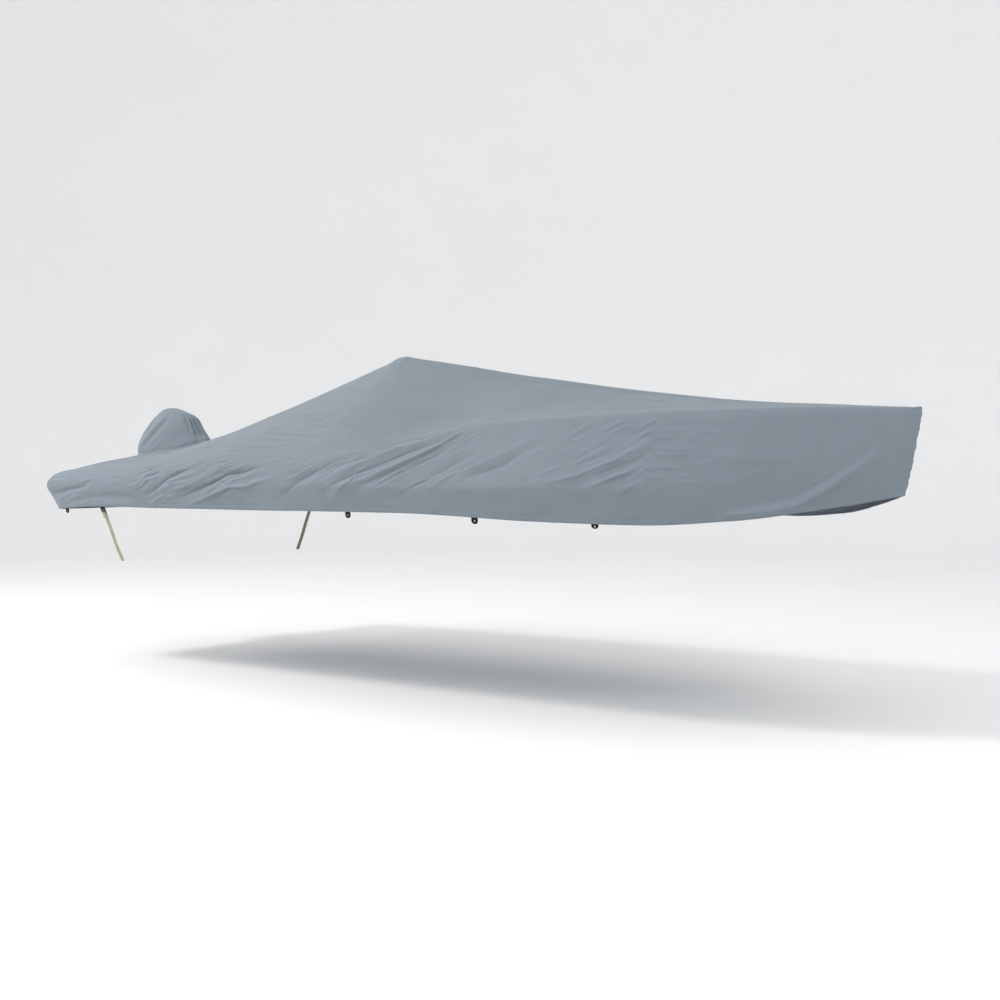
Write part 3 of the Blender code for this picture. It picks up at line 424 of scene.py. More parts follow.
def crease_height(run, climb, folds, crest=None):
    """How far the creases lift the cloth. Each dies away toward its ends, and without a crest it is soft."""
    lift = np.zeros_like(climb)
    for fold in folds:
        line = np.array(fold.line)
        reach = (crest.reach if crest else SOFT_REACH) * fold.width * fold.lean
        low, high = line.min(axis=0) - reach, line.max(axis=0) + reach
        near = (run > low[0]) & (run < high[0]) & (climb > low[1]) & (climb < high[1])
        if not near.any():
            continue
        r, c = run[near], climb[near]
        lengths = np.linalg.norm(np.diff(line, axis=0), axis=1)
        nearest, way, passed = np.full(len(r), np.inf), np.zeros(len(r)), 0.0
        for start, end, length in zip(line, line[1:], lengths):
            ahead = (end - start) / length
            part = np.clip((r - start[0]) * ahead[0] + (c - start[1]) * ahead[1], 0, length)
            off_r, off_c = r - start[0] - part * ahead[0], c - start[1] - part * ahead[1]
            above = (ahead[0] * off_c - ahead[1] * off_r) * np.sign(ahead[0]) > 0
            off = np.hypot(off_r, off_c) * np.where(above, 1 / fold.lean, fold.lean)
            way = np.where(off < nearest, passed + part, way)
            nearest = np.minimum(off, nearest)
            passed += length
        if crest or fold.lean != 1:
            fade = rise(way / passed) ** (crest or CRISP).taper
        else:
            fade = SOFT_END + (1 - SOFT_END) * np.sin(pi * (SOFT_PART[0] + SOFT_PART[1] * way / passed))
        if crest:
            core = crest.core * fold.width
            shape = np.exp(-(np.sqrt(nearest**2 + core**2) - core) / (crest.decay * fold.width))
        else:
            shape = np.exp(-((nearest / fold.width) ** 2))
        lift[near] += fold.height * fade * shape
    return lift


def moved(folds, run_shift, scale):
    return tuple(f._replace(line=tuple((r + run_shift, c) for r, c in f.line), height=scale * f.height) for f in folds)


def resized(fold, width, height=1.0):
    return fold._replace(width=width * fold.width, height=height * fold.height)


WRINKLE_WIDTHS = (0.010, 0.018)
WRINKLE_HEIGHTS = (0.5, 1.3)
WRINKLE_TURN, WRINKLE_BEND = 5, 0.12  # spread of their slopes in degrees, and of their bends in radians
WRINKLE_PAIR, WRINKLE_OPPOSITE = 1.7, -0.7  # how many widths aside the opposite form lies, and its height


def wrinkles(seed):
    """Small wrinkles in the zones, each a bent line with the opposite form beside it."""
    rng = np.random.default_rng(seed)
    found = []
    for run, climb, slope, lengths, count, height in ZONES:
        for _ in range(count):
            start = np.array((rng.uniform(*run), rng.uniform(*climb)))
            angle = radians(slope + rng.normal(0, WRINKLE_TURN))
            bend = rng.normal(0, WRINKLE_BEND)
            length = rng.uniform(*lengths)
            steps = np.linspace(-0.5, 0.5, 5)
            turns = angle + bend * steps * 2
            line = start + np.stack([np.cos(turns), np.sin(turns)], axis=1) * (steps * length)[:, None]
            width = rng.uniform(*WRINKLE_WIDTHS)
            lift = height * rng.uniform(*WRINKLE_HEIGHTS)
            aside = np.array((-sin(angle), cos(angle))) * width * WRINKLE_PAIR
            found.append(Fold(line, width, lift, 1))
            found.append(Fold(line + aside, width, WRINKLE_OPPOSITE * lift, 1))
    return tuple(found)


# Waves in the cloth: their height, the seed of the draws, the shortest and longest wave, and how many are added up.
WAVES = {
    "tent": (0.0021, 5, 0.05, 0.12, 10),
    "deck": (0.0008, 6, 0.08, 0.20, 8),
    "broad": (0.0016, 7, 0.35, 0.90, 14),
    "small": (0.0005, 8, 0.12, 0.30, 14),
    "pinches": (1.0, 9, 0.06, 0.15, 10),
    "uneven pinches": (0.45, 10, 0.30, 0.80, 6),
    "cut-out gathers": (0.0022, 12, 0.05, 0.12, 10),
    "stem": (0.0016, 13, 0.04, 0.11, 8),
    "hem": (0.0007, 14, 0.04, 0.10, 8),
    "hood gathers": (0.0022, 21, 0.035, 0.09, 12),
    "hood": (0.0022, 22, 0.14, 0.35, 12),
}


def waves(name, *coordinates):
    """Smooth uneven waves, the same wherever a piece passes through a place."""
    height, seed, shortest, longest, count = WAVES[name]
    rng = np.random.default_rng(seed)
    place = np.stack(np.broadcast_arrays(*coordinates), axis=-1)
    total = np.zeros(place.shape[:-1])
    for _ in range(count):
        way = rng.normal(size=place.shape[-1])
        way *= 2 * pi / (np.linalg.norm(way) * rng.uniform(shortest, longest))
        total += np.sin(place @ way + rng.uniform(0, 2 * pi))
    return height * total / np.sqrt(count / 2)


CROSS_SEAMS = ("seam_stern", "seam_quarter", "seam_peak", "seam_fore", "seam_bow")
MAIN_WIDTH, MAIN_SCALE = 0.78, 0.33  # the main folds are narrower and flatter than in the solids
CREST_WIDTH, CREST_SCALE = 0.24, 0.32  # and carry a sharper crest
FINE_SCALE = 1.3
SIDE_FOLDS = {-1: tuple(resized(f, MAIN_WIDTH) if f.lean == 1 else f for f in FOLDS)}
SIDE_FOLDS[1] = moved(SIDE_FOLDS[-1], PORT_SHIFT, PORT_SOFTER)
SIDE_FINE = {
    -1: FINE_FOLDS + wrinkles(11),
    1: moved(FINE_FOLDS, PORT_FINE_SHIFT, PORT_FINE_SOFTER) + wrinkles(29),
}
BELOW_RAIL = 0.35  # how much of a crease goes on below the boat's edge amidships
AMIDSHIPS, RAIL_EDGE = (2.4, 0.5, 5.2, 0.3), (0.03, 0.06)
TENT, TENT_FOOT = (0.9, 0.5, 2.95, 0.5), (0.22, 0.2)  # runs, and climbs, where the tent ripples
DECK, DECK_FOOT = (3.1, 0.3, 5.2, 0.4), (0.45, 0.2)
RIDGE_CALM = 0.14  # the two sides' creases die away this far from the ridge
BOW_CALM, BOW_FROM, RIDGE_REACH = 0.35, (5.3, 0.4), 0.5  # the waves are lower at the bow and along the ridge
CUT_OUT_REACH = 0.06
PUCKER_REACH, PUCKER_HEIGHT = 0.055, 0.0026
PINCH_DEPTH, PINCH_LIMIT, PUCKER_MEAN = 1.5, 1.2, 0.55
RIDGE_PUCKER, RIDGE_PUCKER_REACH = 0.3, 0.25  # the puckers are lower near the ridge
HOOD_FILLET, FILLET_REACH = 0.014, 0.0182  # the cloth climbs the hood where the two are sewn together
STRIP_WIDTH, STRIP_RISE, STRIP_EDGE = 0.030, 0.0012, 0.004  # the strip sewn down the stem
STRIP_GROOVE = (0.0010, 0.032, 0.003)  # depth, place and width
STEM_REACH, HEM_REACH = 0.04, 0.05
HEM_FOLD, HEM_BULGE, HEM_ROUND = 0.029, 0.0016, 0.6  # depth of the hem that is turned up and sewn, and its bulge
HEM_GROOVE = (0.0008, 0.0315, 0.0025)
LAP = 0.018  # how far a panel reaches under the next one
LAP_RISE, LAP_END, LAP_FADE = 0.0014, LAP + 0.004, 0.010


def seam_distance(run, speed):
    return np.min([np.abs(run - RUN_OF[s]) for s in CROSS_SEAMS], axis=0) * speed


def groove(value, depth, centre, width):
    return depth * np.exp(-(((value - centre) / width) ** 2))


def hem_bulge(gap):
    return HEM_BULGE * rise(gap / HEM_FOLD) ** HEM_ROUND


def relief(run, climb, girth, speed, place, side):
    """How far all the creases, puckers and hems lift the cloth from its smooth surface."""
    crests = [resized(f, CREST_WIDTH, CREST_SCALE) for f in SIDE_FOLDS[side] if f.lean == 1]
    lift = MAIN_SCALE * crease_height(run, climb, SIDE_FOLDS[side])
    lift += crease_height(run, climb, crests, CRISP)
    lift += FINE_SCALE * crease_height(run, climb, SIDE_FINE[side], CRISP)
    lift *= 1 - (1 - BELOW_RAIL) * between(run, *AMIDSHIPS) * ease((RAIL_EDGE[0] - climb) / RAIL_EDGE[1])
    tent = between(run, *TENT) * ease((climb - TENT_FOOT[0]) / TENT_FOOT[1])
    lift += tent * waves("tent", 0.22 * run, climb + 0.10 * run)
    deck = between(run, *DECK) * ease((climb - DECK_FOOT[0]) / DECK_FOOT[1])
    lift += deck * waves("deck", 0.3 * run, climb + 0.08 * run)
    lift *= ease(girth / RIDGE_CALM)

    # Forward of the hood the waves run on over the ridge. Round the hood's edge only its own puckers remain.
    x, y, z = np.moveaxis(place, -1, 0)
    calm = BOW_CALM + (1 - BOW_CALM) * ease((BOW_FROM[0] - run) / BOW_FROM[1]) * ease(girth / RIDGE_REACH)
    lift += calm * (waves("broad", x, y, z) + waves("small", x, y, z))
    round_hood = run < HOOD_FRONT
    lift *= np.where(round_hood, ease(girth / CUT_OUT_REACH), 1.0)

    across = side * girth
    pinches = np.abs(waves("pinches", across + 0.4 * run, 0.25 * run))
    uneven = PUCKER_MEAN + waves("uneven pinches", across, run)
    near_seam = np.exp(-seam_distance(run, speed) / PUCKER_REACH)
    near_seam *= RIDGE_PUCKER + (1 - RIDGE_PUCKER) * ease(girth / RIDGE_PUCKER_REACH)
    lift += PUCKER_HEIGHT * (1 - PINCH_DEPTH * np.minimum(pinches, PINCH_LIMIT)) * uneven * near_seam
    gathers = waves("cut-out gathers", run * side, 0.15 * girth)
    lift += np.where(round_hood, gathers * np.exp(-girth / CUT_OUT_REACH), 0)
    rho = np.hypot((x - HOOD_X) * 2 / HOOD_LENGTH, y * 2 / HOOD_WIDTH)
    from_hood = np.hypot(x - HOOD_X, y) * (1 - 1 / np.maximum(rho, 0.5))
    lift += HOOD_FILLET * np.exp(-np.maximum(from_hood, 0) / FILLET_REACH)

    stem = (RUN_OF["stem"] - run) * speed
    lift += STRIP_RISE * ease((STRIP_WIDTH - stem) / STRIP_EDGE) - groove(stem, *STRIP_GROOVE)
    lift += waves("stem", climb) * np.exp(-stem / STEM_REACH)
    hem_gap = climb - climb[:, -1:]
    lift += waves("hem", run, 0.3 * climb) * np.exp(-hem_gap / HEM_REACH)
    return lift + hem_bulge(hem_gap) - groove(hem_gap, *HEM_GROOVE)


RUN_NUDGE = 0.004
MITRE_LEAST = 0.5  # of a normal that was set upright on the ridge
BOW_GAP = 0.0001  # keeps the bow's halves off each other
SEAM_REACH = 0.1  # how far from a seam its distance is known to the material
# The hem's turned-up edge behind the skirt: how far below the edge, and how far in, each row lies.
TURN_LOW = np.array((0.0010, 0.0012, 0.0002, -0.007, -0.015, -0.026))
TURN_BACK = np.array((0.0008, 0.0019, 0.0030, 0.0033, 0.0032, 0.0031))
TURN_GIRTH = np.cumsum(np.abs(np.diff(TURN_BACK, prepend=0))) + np.maximum(-TURN_LOW, 0)

# seam and hem are distances to them, crease is the lift, and slant is how much more than the smooth cloth it faces up.
Half = namedtuple("Half", "points uv seam hem crease slant")


def and_turned(values, mode="edge"):
    """The values with more for the hem's turned-up rows: the last one's, or 0 with the mode constant."""
    return np.pad(values, ((0, 0), (0, len(TURN_LOW))), mode)


def half_cloth(runs, side, lap_from=None):
    """One side of the cover from the ridge or the hood's edge down to the hem and up behind it."""
    smooth, climb = settled_sections(runs)
    ahead = settled_sections(runs + RUN_NUDGE)[0] - settled_sections(runs - RUN_NUDGE)[0]
    normal = unit(np.cross(ahead, np.gradient(smooth, axis=1)))
    normal[:, 0] = np.where((runs < HOOD_FRONT)[:, None], (0, 0, 1), normal[:, 0] * (1, 0, 1))
    if runs[-1] >= RUNS[-1] - 1e-6:
        normal[-1, 0] = normal[-2, 0]
        normal[-1, :, 1] = 0
    normal = unit(normal, MITRE_LEAST)
    run = np.repeat(runs[:, None], climb.shape[1], axis=1)
    girth = climb[:, :1] - climb
    speed = np.linalg.norm(ahead, axis=2) / (2 * RUN_NUDGE)
    crease = relief(run, climb, girth, speed, smooth * (1, side, 1), side)
    lift, seam = crease, np.ones_like(run)
    if lap_from is not None:
        lift = crease + LAP_RISE * ease((lap_from + LAP_END + LAP_FADE - run) / LAP_FADE)
        seam = np.where(np.abs(run - lap_from) < SEAM_REACH, np.abs(run - lap_from) * speed, 1.0)
    if runs[-1] >= RUN_OF["seam_bow"] + SEAM_REACH:
        seam = np.minimum(seam, np.minimum(girth, (RUN_OF["stem"] - run) * speed))
    seam = np.where(run < HOOD_FRONT, np.minimum(girth, (run - RUNS[0]) * speed), seam)
    points = smooth + normal * lift[..., None]
    slant = facing_up(points) - facing_up(smooth)

    down = unit(points[:, -1] - points[:, -3])
    turned = points[:, -1:] + down[:, None] * TURN_LOW[:, None] - normal[:, -1:] * TURN_BACK[:, None]
    points = np.concatenate([points, turned], axis=1)
    if runs[-1] >= RUN_OF["seam_bow"]:
        points[..., 1] = np.maximum(points[..., 1], BOW_GAP)
    uv = np.stack([and_turned(run), side * np.hstack([girth, girth[:, -1:] + TURN_GIRTH])], axis=-1)
    ending = [and_turned(layer, "constant") for layer in (climb - climb[:, -1:], crease, slant)]
    return Half(points * (1, side, 1) + SHIFT, uv, and_turned(seam), *ending)


def join_sides(runs, lap_from=None):
    """Whole sections, from the port hem over the ridge to the starboard hem."""
    port, starboard = half_cloth(runs, 1, lap_from), half_cloth(runs, -1, lap_from)
    whole = [np.concatenate([p[:, ::-1], s[:, 1:]], axis=1) for p, s in zip(port, starboard)]
    whole[0][:, port.points.shape[1] - 1, 1] = 0
    return Half(*whole)


def numbered(grid, first=0):
    """The numbers of a grid's points."""
    return first + np.arange(grid.shape[0] * grid.shape[1]).reshape(grid.shape[:2])


def grid_faces(numbers, flip):
    a, b = numbers[:-1, :-1].ravel(), numbers[:-1, 1:].ravel()
    c, d = numbers[1:, 1:].ravel(), numbers[1:, :-1].ravel()
    return np.stack([a, b, c, d] if flip else [a, d, c, b], axis=1)


def closed(numbers, *axes):
    """The numbers with the first row or column, or both, again at the end, so the form closes on itself."""
    return np.pad(numbers, [(0, int(axis in axes)) for axis in (0, 1)], "wrap")


# ---------------------------------------------------------------- meshes


SHARP, SMALL_SHARP = 80, 60  # degrees between the faces at an edge that shows as sharp


def build(name, points, faces, material, layers=(), sharp=SMALL_SHARP):
    """A smooth-shaded object. layers: uv and float values for each point."""
    mesh = bpy.data.meshes.new(name)
    mesh.from_pydata(np.reshape(points, (-1, 3)).tolist(), [], [[int(i) for i in face] for face in faces])
    for key, values in dict(layers).items():
        values = values.astype(np.float32)
        if key == "uv":
            corner = np.empty(len(mesh.loops), np.int32)
            mesh.loops.foreach_get("vertex_index", corner)
            mesh.uv_layers.new(name="UVMap").data.foreach_set("uv", values.reshape(-1, 2)[corner].ravel())
        else:
            mesh.attributes.new(key, "FLOAT", "POINT").data.foreach_set("value", values.ravel())
    mesh.materials.append(material)
    mesh.shade_smooth()
    piece = bpy.data.objects.new(name, mesh)
    bpy.context.scene.collection.objects.link(piece)
    piece.data.set_sharp_from_angle(angle=radians(sharp))
    return piece


def face_outward(piece):
    bm = bmesh.new()
    bm.from_mesh(piece.data)
    bmesh.ops.recalc_face_normals(bm, faces=bm.faces)
    bm.to_mesh(piece.data)
    bm.free()


def ride_cover(piece, node):
    """The piece rides on the cover and stands for its CAD node."""
    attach(piece, "root")
    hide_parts(node)


def cloth_piece(node, parts, faces):
    """A panel of the cover, built from these parts and faces."""
    layers = {key: np.concatenate([getattr(p, key).ravel() for p in parts]) for key in Half._fields[1:]}
    points = np.vstack([p.points.reshape(-1, 3) for p in parts])
    piece = build(f"{node}_cloth", points, np.vstack(faces), COVER, layers, SHARP)
    ride_cover(piece, node)


RUN_STEP = 0.0085
PEAK_STEP = 0.005  # the peak panel's sections fan out toward the ridge
STERN_STEPS, FAN_STEPS, BOW_STEPS = 83, 159, 149
EDGE_STEPS = np.array((0, 0.002, 0.005, 0.009, 0.0135, 0.018, 0.0225, 0.026, 0.029, 0.0325, 0.038, 0.045))


def filled(first, last, steps):
    """The first and last runs, which lie close together at seams, with even steps between them."""
    return np.concatenate([first, np.linspace(first[-1], last[0], steps + 1)[1:-1], last])


def cross_panel(node, start, end, step=RUN_STEP):
    """Whole sections that start at a seam and go on under the next panel."""
    first = RUN_OF[start] + SEAM_GAP / 2 + EDGE_STEPS
    last = RUN_OF[end] + LAP - EDGE_STEPS[::-1]
    whole = join_sides(filled(first, last, round((last[0] - first[-1]) / step)), RUN_OF[start])
    cloth_piece(node, [whole], [grid_faces(numbered(whole.uv), True)])


def stern_panel():
    """Whole sections ahead of the hood, and on each side of it sections that fan out round the stern corner."""
    ahead = filled([HOOD_FRONT], RUN_OF["seam_stern"] + LAP - EDGE_STEPS[::-1], STERN_STEPS)
    whole = join_sides(ahead)
    numbers = numbered(whole.uv)
    parts, faces = [whole], [grid_faces(numbers, True)]
    middle = whole.uv.shape[1] // 2
    for side in (1, -1):
        fan = half_cloth(filled(RUNS[0] + EDGE_STEPS, [HOOD_FRONT], FAN_STEPS), side)
        fan = Half(*[layer[:-1] for layer in fan])
        own = numbered(fan.uv, sum(p.seam.size for p in parts))
        shared = numbers[0, middle::-1] if side == 1 else numbers[0, middle:]
        faces.append(grid_faces(np.vstack([own, shared]), side == -1))
        parts.append(fan)
    cloth_piece("stern_panel", parts, faces)


def bow_half(where, side):
    start = RUN_OF["seam_bow"]
    runs = filled(start + SEAM_GAP / 2 + EDGE_STEPS, RUN_OF["stem"] - EDGE_STEPS[::-1], BOW_STEPS)
    half = half_cloth(runs, side, start)
    cloth_piece(f"bow_panel_{where}", [half], [grid_faces(numbered(half.uv), side == -1)])


# ---------------------------------------------------------------- the motor's hood

# The rings above the rim: height, share of the hood's length and width, and shift forward.
HOOD_RINGS = (
    (0.404, 0.845, 0.002),
    (0.445, 0.765, 0.004),
    (0.485, 0.680, 0.006),
    (0.525, 0.590, 0.010),
    (0.558, 0.490, 0.006),
    (0.588, 0.350, -0.016),
    (0.610, 0.180, -0.036),
    (0.619, 0.010, -0.042),
)
HOOD_TUCK = 0.018
HOOD_UPRIGHT = 0.012
HOOD_HEM = -0.06
HOOD_HEM_TURN = 12  # degrees over which the rim passes into the hem behind the transom
HOOD_EDGE = (0, 0.002, 0.006, 0.012, 0.019, 0.026, 0.030, 0.034)
HOOD_LEVEL = 0.04  # where the even levels start
HOOD_LEVELS = 84
HOOD_ANGLES = 200
RIM_POINTS = 60
HOOD_GIRTH = 0.30  # metres of arc for one radian round the hood, about its mean radius
HOOD_SCALE = 1.2  # of the creases' heights
HOOD_SEAM = 0.004  # above the rim
HOOD_FADE = 0.03  # the creases die away over this height at the seam and at the top
GATHER_HEIGHT, GATHER_REACH = 0.02, 0.05
# Degrees round the hood and millimetres up, at each end of the crease, then its width and height in millimetres. The
# hood's front is 0 and port is 90.
HOOD_FOLDS = (
    (358.5, 575, 359.5, 360, 18, -12),
    (352, 575, 355, 370, 11, 7),
    (346, 580, 349, 360, 13, -8.5),
    (340, 578, 344, 400, 11, 7),
    (333, 580, 338, 410, 13, -6.5),
    (326, 575, 329, 500, 12, 3.5),
    (244, 270, 292, 560, 20, -8.5),
    (238, 310, 284, 580, 16, 6),
    (262, 260, 296, 440, 20, -3.5),
    (226, 330, 250, 530, 20, -6),
    (205, 300, 222, 560, 22, 5),
    (8, 560, 10, 420, 16, 6),
    (18, 570, 22, 440, 16, -6),
    (30, 570, 36, 460, 14, 5),
    (118, 280, 72, 540, 20, -7.5),
    (124, 330, 80, 570, 16, 5.5),
    (150, 300, 132, 550, 22, -5.5),
    (175, 260, 178, 550, 26, 4.5),
    (165, 100, 150, 250, 20, -4.5),
    (200, 60, 212, 240, 20, -4.5),
)


def hood_lift(angles, heights):
    """How far the hood's creases lift its cloth, on an arc that closes on itself."""
    folds = []
    for from_angle, from_height, to_angle, to_height, width, height in HOOD_FOLDS:
        for turn in (-360, 0, 360):
            start = radians(from_angle + turn) * HOOD_GIRTH, from_height / 1000
            end = radians(to_angle + turn) * HOOD_GIRTH, to_height / 1000
            folds.append(Fold((start, end), width / 1000, HOOD_SCALE * height / 1000, 1))
    return crease_height(np.radians(angles) * HOOD_GIRTH, heights, folds, HOOD_CREST)


def motor_hood():
    angles = np.linspace(0, 360, HOOD_ANGLES, endpoint=False)
    folded = np.minimum(angles, 360 - angles)
    fan = section_tops(np.linspace(RUNS[0], HOOD_FRONT, RIM_POINTS))
    rim = np.interp(folded, fan[::-1, 0], fan[::-1, 2])
    behind = np.clip((folded - ROWS[0, 0]) / HOOD_HEM_TURN, 0, 1)
    turn = np.radians(angles)
    low = (rim - HOOD_TUCK) * (1 - behind) + HOOD_HEM * behind
    rows = [(low, 1.0, 0.0), ((low + rim) / 2, 1.0, 0.0), (rim + HOOD_UPRIGHT, 1.0, 0.0), *HOOD_RINGS]
    rings = []
    for height, share, shift in rows:
        x = HOOD_X + shift + HOOD_LENGTH / 2 * share * np.cos(turn)
        rings.append(np.stack([x, HOOD_WIDTH / 2 * share * np.sin(turn), height + 0 * turn], axis=1))
    rings = np.array(rings)
    steps = np.linalg.norm(np.diff(rings, axis=0), axis=2).mean(axis=1)
    knots = np.concatenate([[0], np.cumsum(steps)])
    at = np.concatenate([HOOD_EDGE, np.linspace(HOOD_LEVEL, knots[-1], HOOD_LEVELS)])
    smooth = smooth_through(knots, rings.reshape(len(rings), -1), at).reshape(len(at), -1, 3)
    at = at[:, None]

    around = np.roll(smooth, -1, axis=1) - np.roll(smooth, 1, axis=1)
    normal = unit(np.cross(around, np.gradient(smooth, axis=0)))
    angle_grid = np.repeat(angles[None], len(at), axis=0)
    lift = hood_lift(angle_grid, smooth[..., 2])
    above_seam = smooth[..., 2] - rim
    arc = np.cos(turn) * HOOD_GIRTH, np.sin(turn) * HOOD_GIRTH
    gathers = waves("hood gathers", *arc, 0.25 * smooth[..., 2])
    lift += gathers * np.exp(-np.abs(above_seam - GATHER_HEIGHT) / GATHER_REACH)
    lift += waves("hood", *np.moveaxis(smooth, -1, 0))
    lift += hem_bulge(at) * behind
    lift *= ease((above_seam + HOOD_SEAM) / HOOD_FADE) * (1 - behind) + behind
    lift *= ease((knots[-1] - at) / HOOD_FADE)
    points = smooth + normal * lift[..., None] + SHIFT

    uv = np.stack([np.radians(angle_grid) * HOOD_GIRTH, np.repeat(at, len(angles), axis=1)], axis=-1)
    hem = np.where(behind > 0.5, at + 0 * above_seam, 1.0)
    slant = facing_up(smooth) - facing_up(points)
    hood = Half(points, uv, np.abs(above_seam - HOOD_SEAM), hem, lift, slant)
    cloth_piece("motor_hood", [hood], [grid_faces(closed(numbered(uv), 1), False)])


# ---------------------------------------------------------------- materials


class Nodes:
    """Adds shader nodes to a material with few words."""

    def __init__(self, name):
        self.material = bpy.data.materials.new(name)
        self.material.use_nodes = True
        self.tree = self.material.node_tree
        self.shader = self.tree.nodes["Principled BSDF"]
        where = self.add("ShaderNodeTexCoord").outputs
        self.place, self.uv = where["Object"], where["UV"]

    def add(self, kind, inputs=(), **settings):
        node = self.tree.nodes.new(kind)
        for key, value in settings.items():
            setattr(node, key, value)
        for key, value in dict(inputs).items():
            self.put(value, node.inputs[key])
        return node

    def put(self, value, socket):
        if isinstance(value, bpy.types.NodeSocket):
            self.tree.links.new(value, socket)
        else:
            socket.default_value = value

    def math(self, operation, *values):
        return self.add("ShaderNodeMath", dict(enumerate(values)), operation=operation).outputs[0]

    def total(self, *values):
        return reduce(lambda a, b: self.math("ADD", a, b), values)

    def product(self, a, b):
        return self.math("MULTIPLY", a, b)

    def attribute(self, name):
        return self.add("ShaderNodeAttribute", attribute_name=name).outputs["Fac"]

    def noise(self, where, scale, detail=3.0, roughness=0.55):
        inputs = {"Vector": where, "Scale": scale, "Detail": detail, "Roughness": roughness}
        return self.add("ShaderNodeTexNoise", inputs).outputs["Fac"]

    def threads(self, way, spacing, distortion=0.6):
        """Parallel threads this far apart."""
        inputs = {"Vector": self.uv, "Scale": WAVE_SCALE / spacing, "Distortion": distortion, "Detail": 1.0}
        return self.add("ShaderNodeTexWave", inputs, bands_direction=way).outputs["Fac"]

    def ramp(self, value, low, high, out_low=0.0, out_high=1.0):
        inputs = {"Value": value, "From Min": low, "From Max": high, "To Min": out_low, "To Max": out_high}
        return self.add("ShaderNodeMapRange", inputs, interpolation_type="SMOOTHSTEP").outputs["Result"]

    def spread(self, noise, low, high):
        """A noise's usual values spread from low to high."""
        return self.ramp(noise, 0.3, 0.7, low, high)

    def band(self, value, centre, half_width):
        """1 on a line at this value, 0 away from it."""
        off = self.math("ABSOLUTE", self.math("SUBTRACT", value, centre))
        return self.ramp(off, half_width * 0.6, half_width, 1.0, 0.0)

    def dashes(self, value):
        phase = self.math("FRACT", self.math("DIVIDE", value, STITCH_PERIOD))
        return self.band(phase, 0.5, STITCH_SHARE / 2)

    def colour(self, base, factor):
        """The base colour times a factor."""
        grey = self.add("ShaderNodeCombineColor", {0: factor, 1: factor, 2: factor}).outputs[0]
        inputs = {0: 1.0, 6: (*base, 1.0), 7: grey}
        return self.add("ShaderNodeMix", inputs, data_type="RGBA", blend_type="MULTIPLY").outputs[2]

    def bump(self, height, distance, strength=1.0, **normal):
        inputs = {"Height": height, "Distance": distance, "Strength": strength, **normal}
        return self.add("ShaderNodeBump", inputs).outputs[0]

    def finish(self, colour, roughness, normal, **constants):
        inputs = {"Base Color": colour, "Roughness": roughness, "Normal": normal}
        for key, value in (inputs | constants).items():
            self.put(value, self.shader.inputs[key.replace("_", " ")])
        return self.material


WAVE_SCALE = 0.314  # over a distance in metres: the scale of a wave texture whose bands lie that far apart
COVER_COLOUR = (0.165, 0.196, 0.225)
# painted highlight on the creases' upward flanks, the slant over which it grows, and painted shade on their downward
# flanks
PAINTED_HIGHLIGHT, PAINTED_LIGHT_SLANT, SHADE = 0.20, 0.60, 0.07
CLOTH_THREAD = 0.0010
STITCH_ROWS, HEM_STITCHES = (0.004, 0.016), 0.026
STITCH_HALF, STITCH_PERIOD, STITCH_SHARE = 0.0009, 0.0045, 0.62
RIB, YARN = 0.0022, 0.0013  # of webbing


def cover_material():
    n = Nodes("cover_cloth_weave")
    run, girth = n.add("ShaderNodeSeparateXYZ", {0: n.uv}).outputs[:2]
    seam, hem, crease, slant = [n.attribute(name) for name in ("seam", "hem", "crease", "slant")]
    broad = n.spread(n.noise(n.place, 1.3, 4.0), -0.035, 0.035)
    cloudy = n.spread(n.noise(n.place, 9.0, 5.0, 0.6), -0.022, 0.022)
    flecks = n.ramp(n.noise(n.uv, 420.0, 2.0), 0.25, 0.75, -0.05, 0.05)
    # Painted shade in the troughs of the creases and painted light on their crests, from how far the creases lift the
    # cloth.
    painted_crease_shade = n.ramp(crease, -0.012, 0.012, -0.03, 0.03)
    # Painted light and shade: the flanks of the creases that face up more than the smooth cloth are painted lighter,
    # and those that face down are painted darker.
    painted_slant_light = n.ramp(slant, -PAINTED_LIGHT_SLANT, PAINTED_LIGHT_SLANT, -SHADE, PAINTED_HIGHLIGHT)

    rows = n.total(*[n.band(seam, row, STITCH_HALF) for row in STITCH_ROWS])
    hem_row = n.band(hem, HEM_STITCHES, STITCH_HALF)
    stitches = n.total(n.product(rows, n.dashes(girth)), n.product(hem_row, n.dashes(run)))
    worn = n.math("MAXIMUM", n.ramp(seam, 0.0, 0.002, 1.0, 0.0), n.ramp(hem, 0.0, 0.003, 1.0, 0.0))
    worn = n.product(worn, n.noise(n.place, 30.0))
    factor = n.total(broad, cloudy, flecks, painted_crease_shade, painted_slant_light, n.product(stitches, 0.16), n.product(worn, 0.12), 1.0)

    fine = n.bump(n.total(n.threads("X", CLOTH_THREAD), n.threads("Y", CLOTH_THREAD)), 0.00010, 0.55)
    crumple = n.bump(n.noise(n.uv, 55.0, 4.0, 0.6), 0.0010, 0.35, Normal=fine)
    sewn = n.bump(stitches, 0.0006, 0.8, Normal=crumple)
    constants = {"Sheen_Weight": 0.12, "Sheen_Roughness": 0.45, "Specular_IOR_Level": 0.32}
    roughness = n.spread(n.noise(n.place, 6.0), 0.70, 0.80)
    return n.finish(n.colour(COVER_COLOUR, factor), roughness, sewn, **constants)


def webbing_material(name, colour, spread):
    """Flat woven tape: ribs across it and yarns along it."""
    n = Nodes(name)
    weave = n.product(n.total(n.threads("Y", RIB, 0.3), 0.4), n.total(n.threads("X", YARN, 0.4), 0.5))
    shade = n.ramp(weave, 0.2, 2.0, -spread, spread)
    dust = n.ramp(n.noise(n.place, 40.0, 5.0), 0.35, 0.7, -spread, spread)
    colour = n.colour(colour, n.total(shade, dust, 1.0))
    constants = {"Sheen_Weight": 0.04, "Specular_IOR_Level": 0.2}
    return n.finish(colour, n.ramp(dust, -spread, spread, 0.72, 0.86), n.bump(weave, 0.0004, 0.7), **constants)


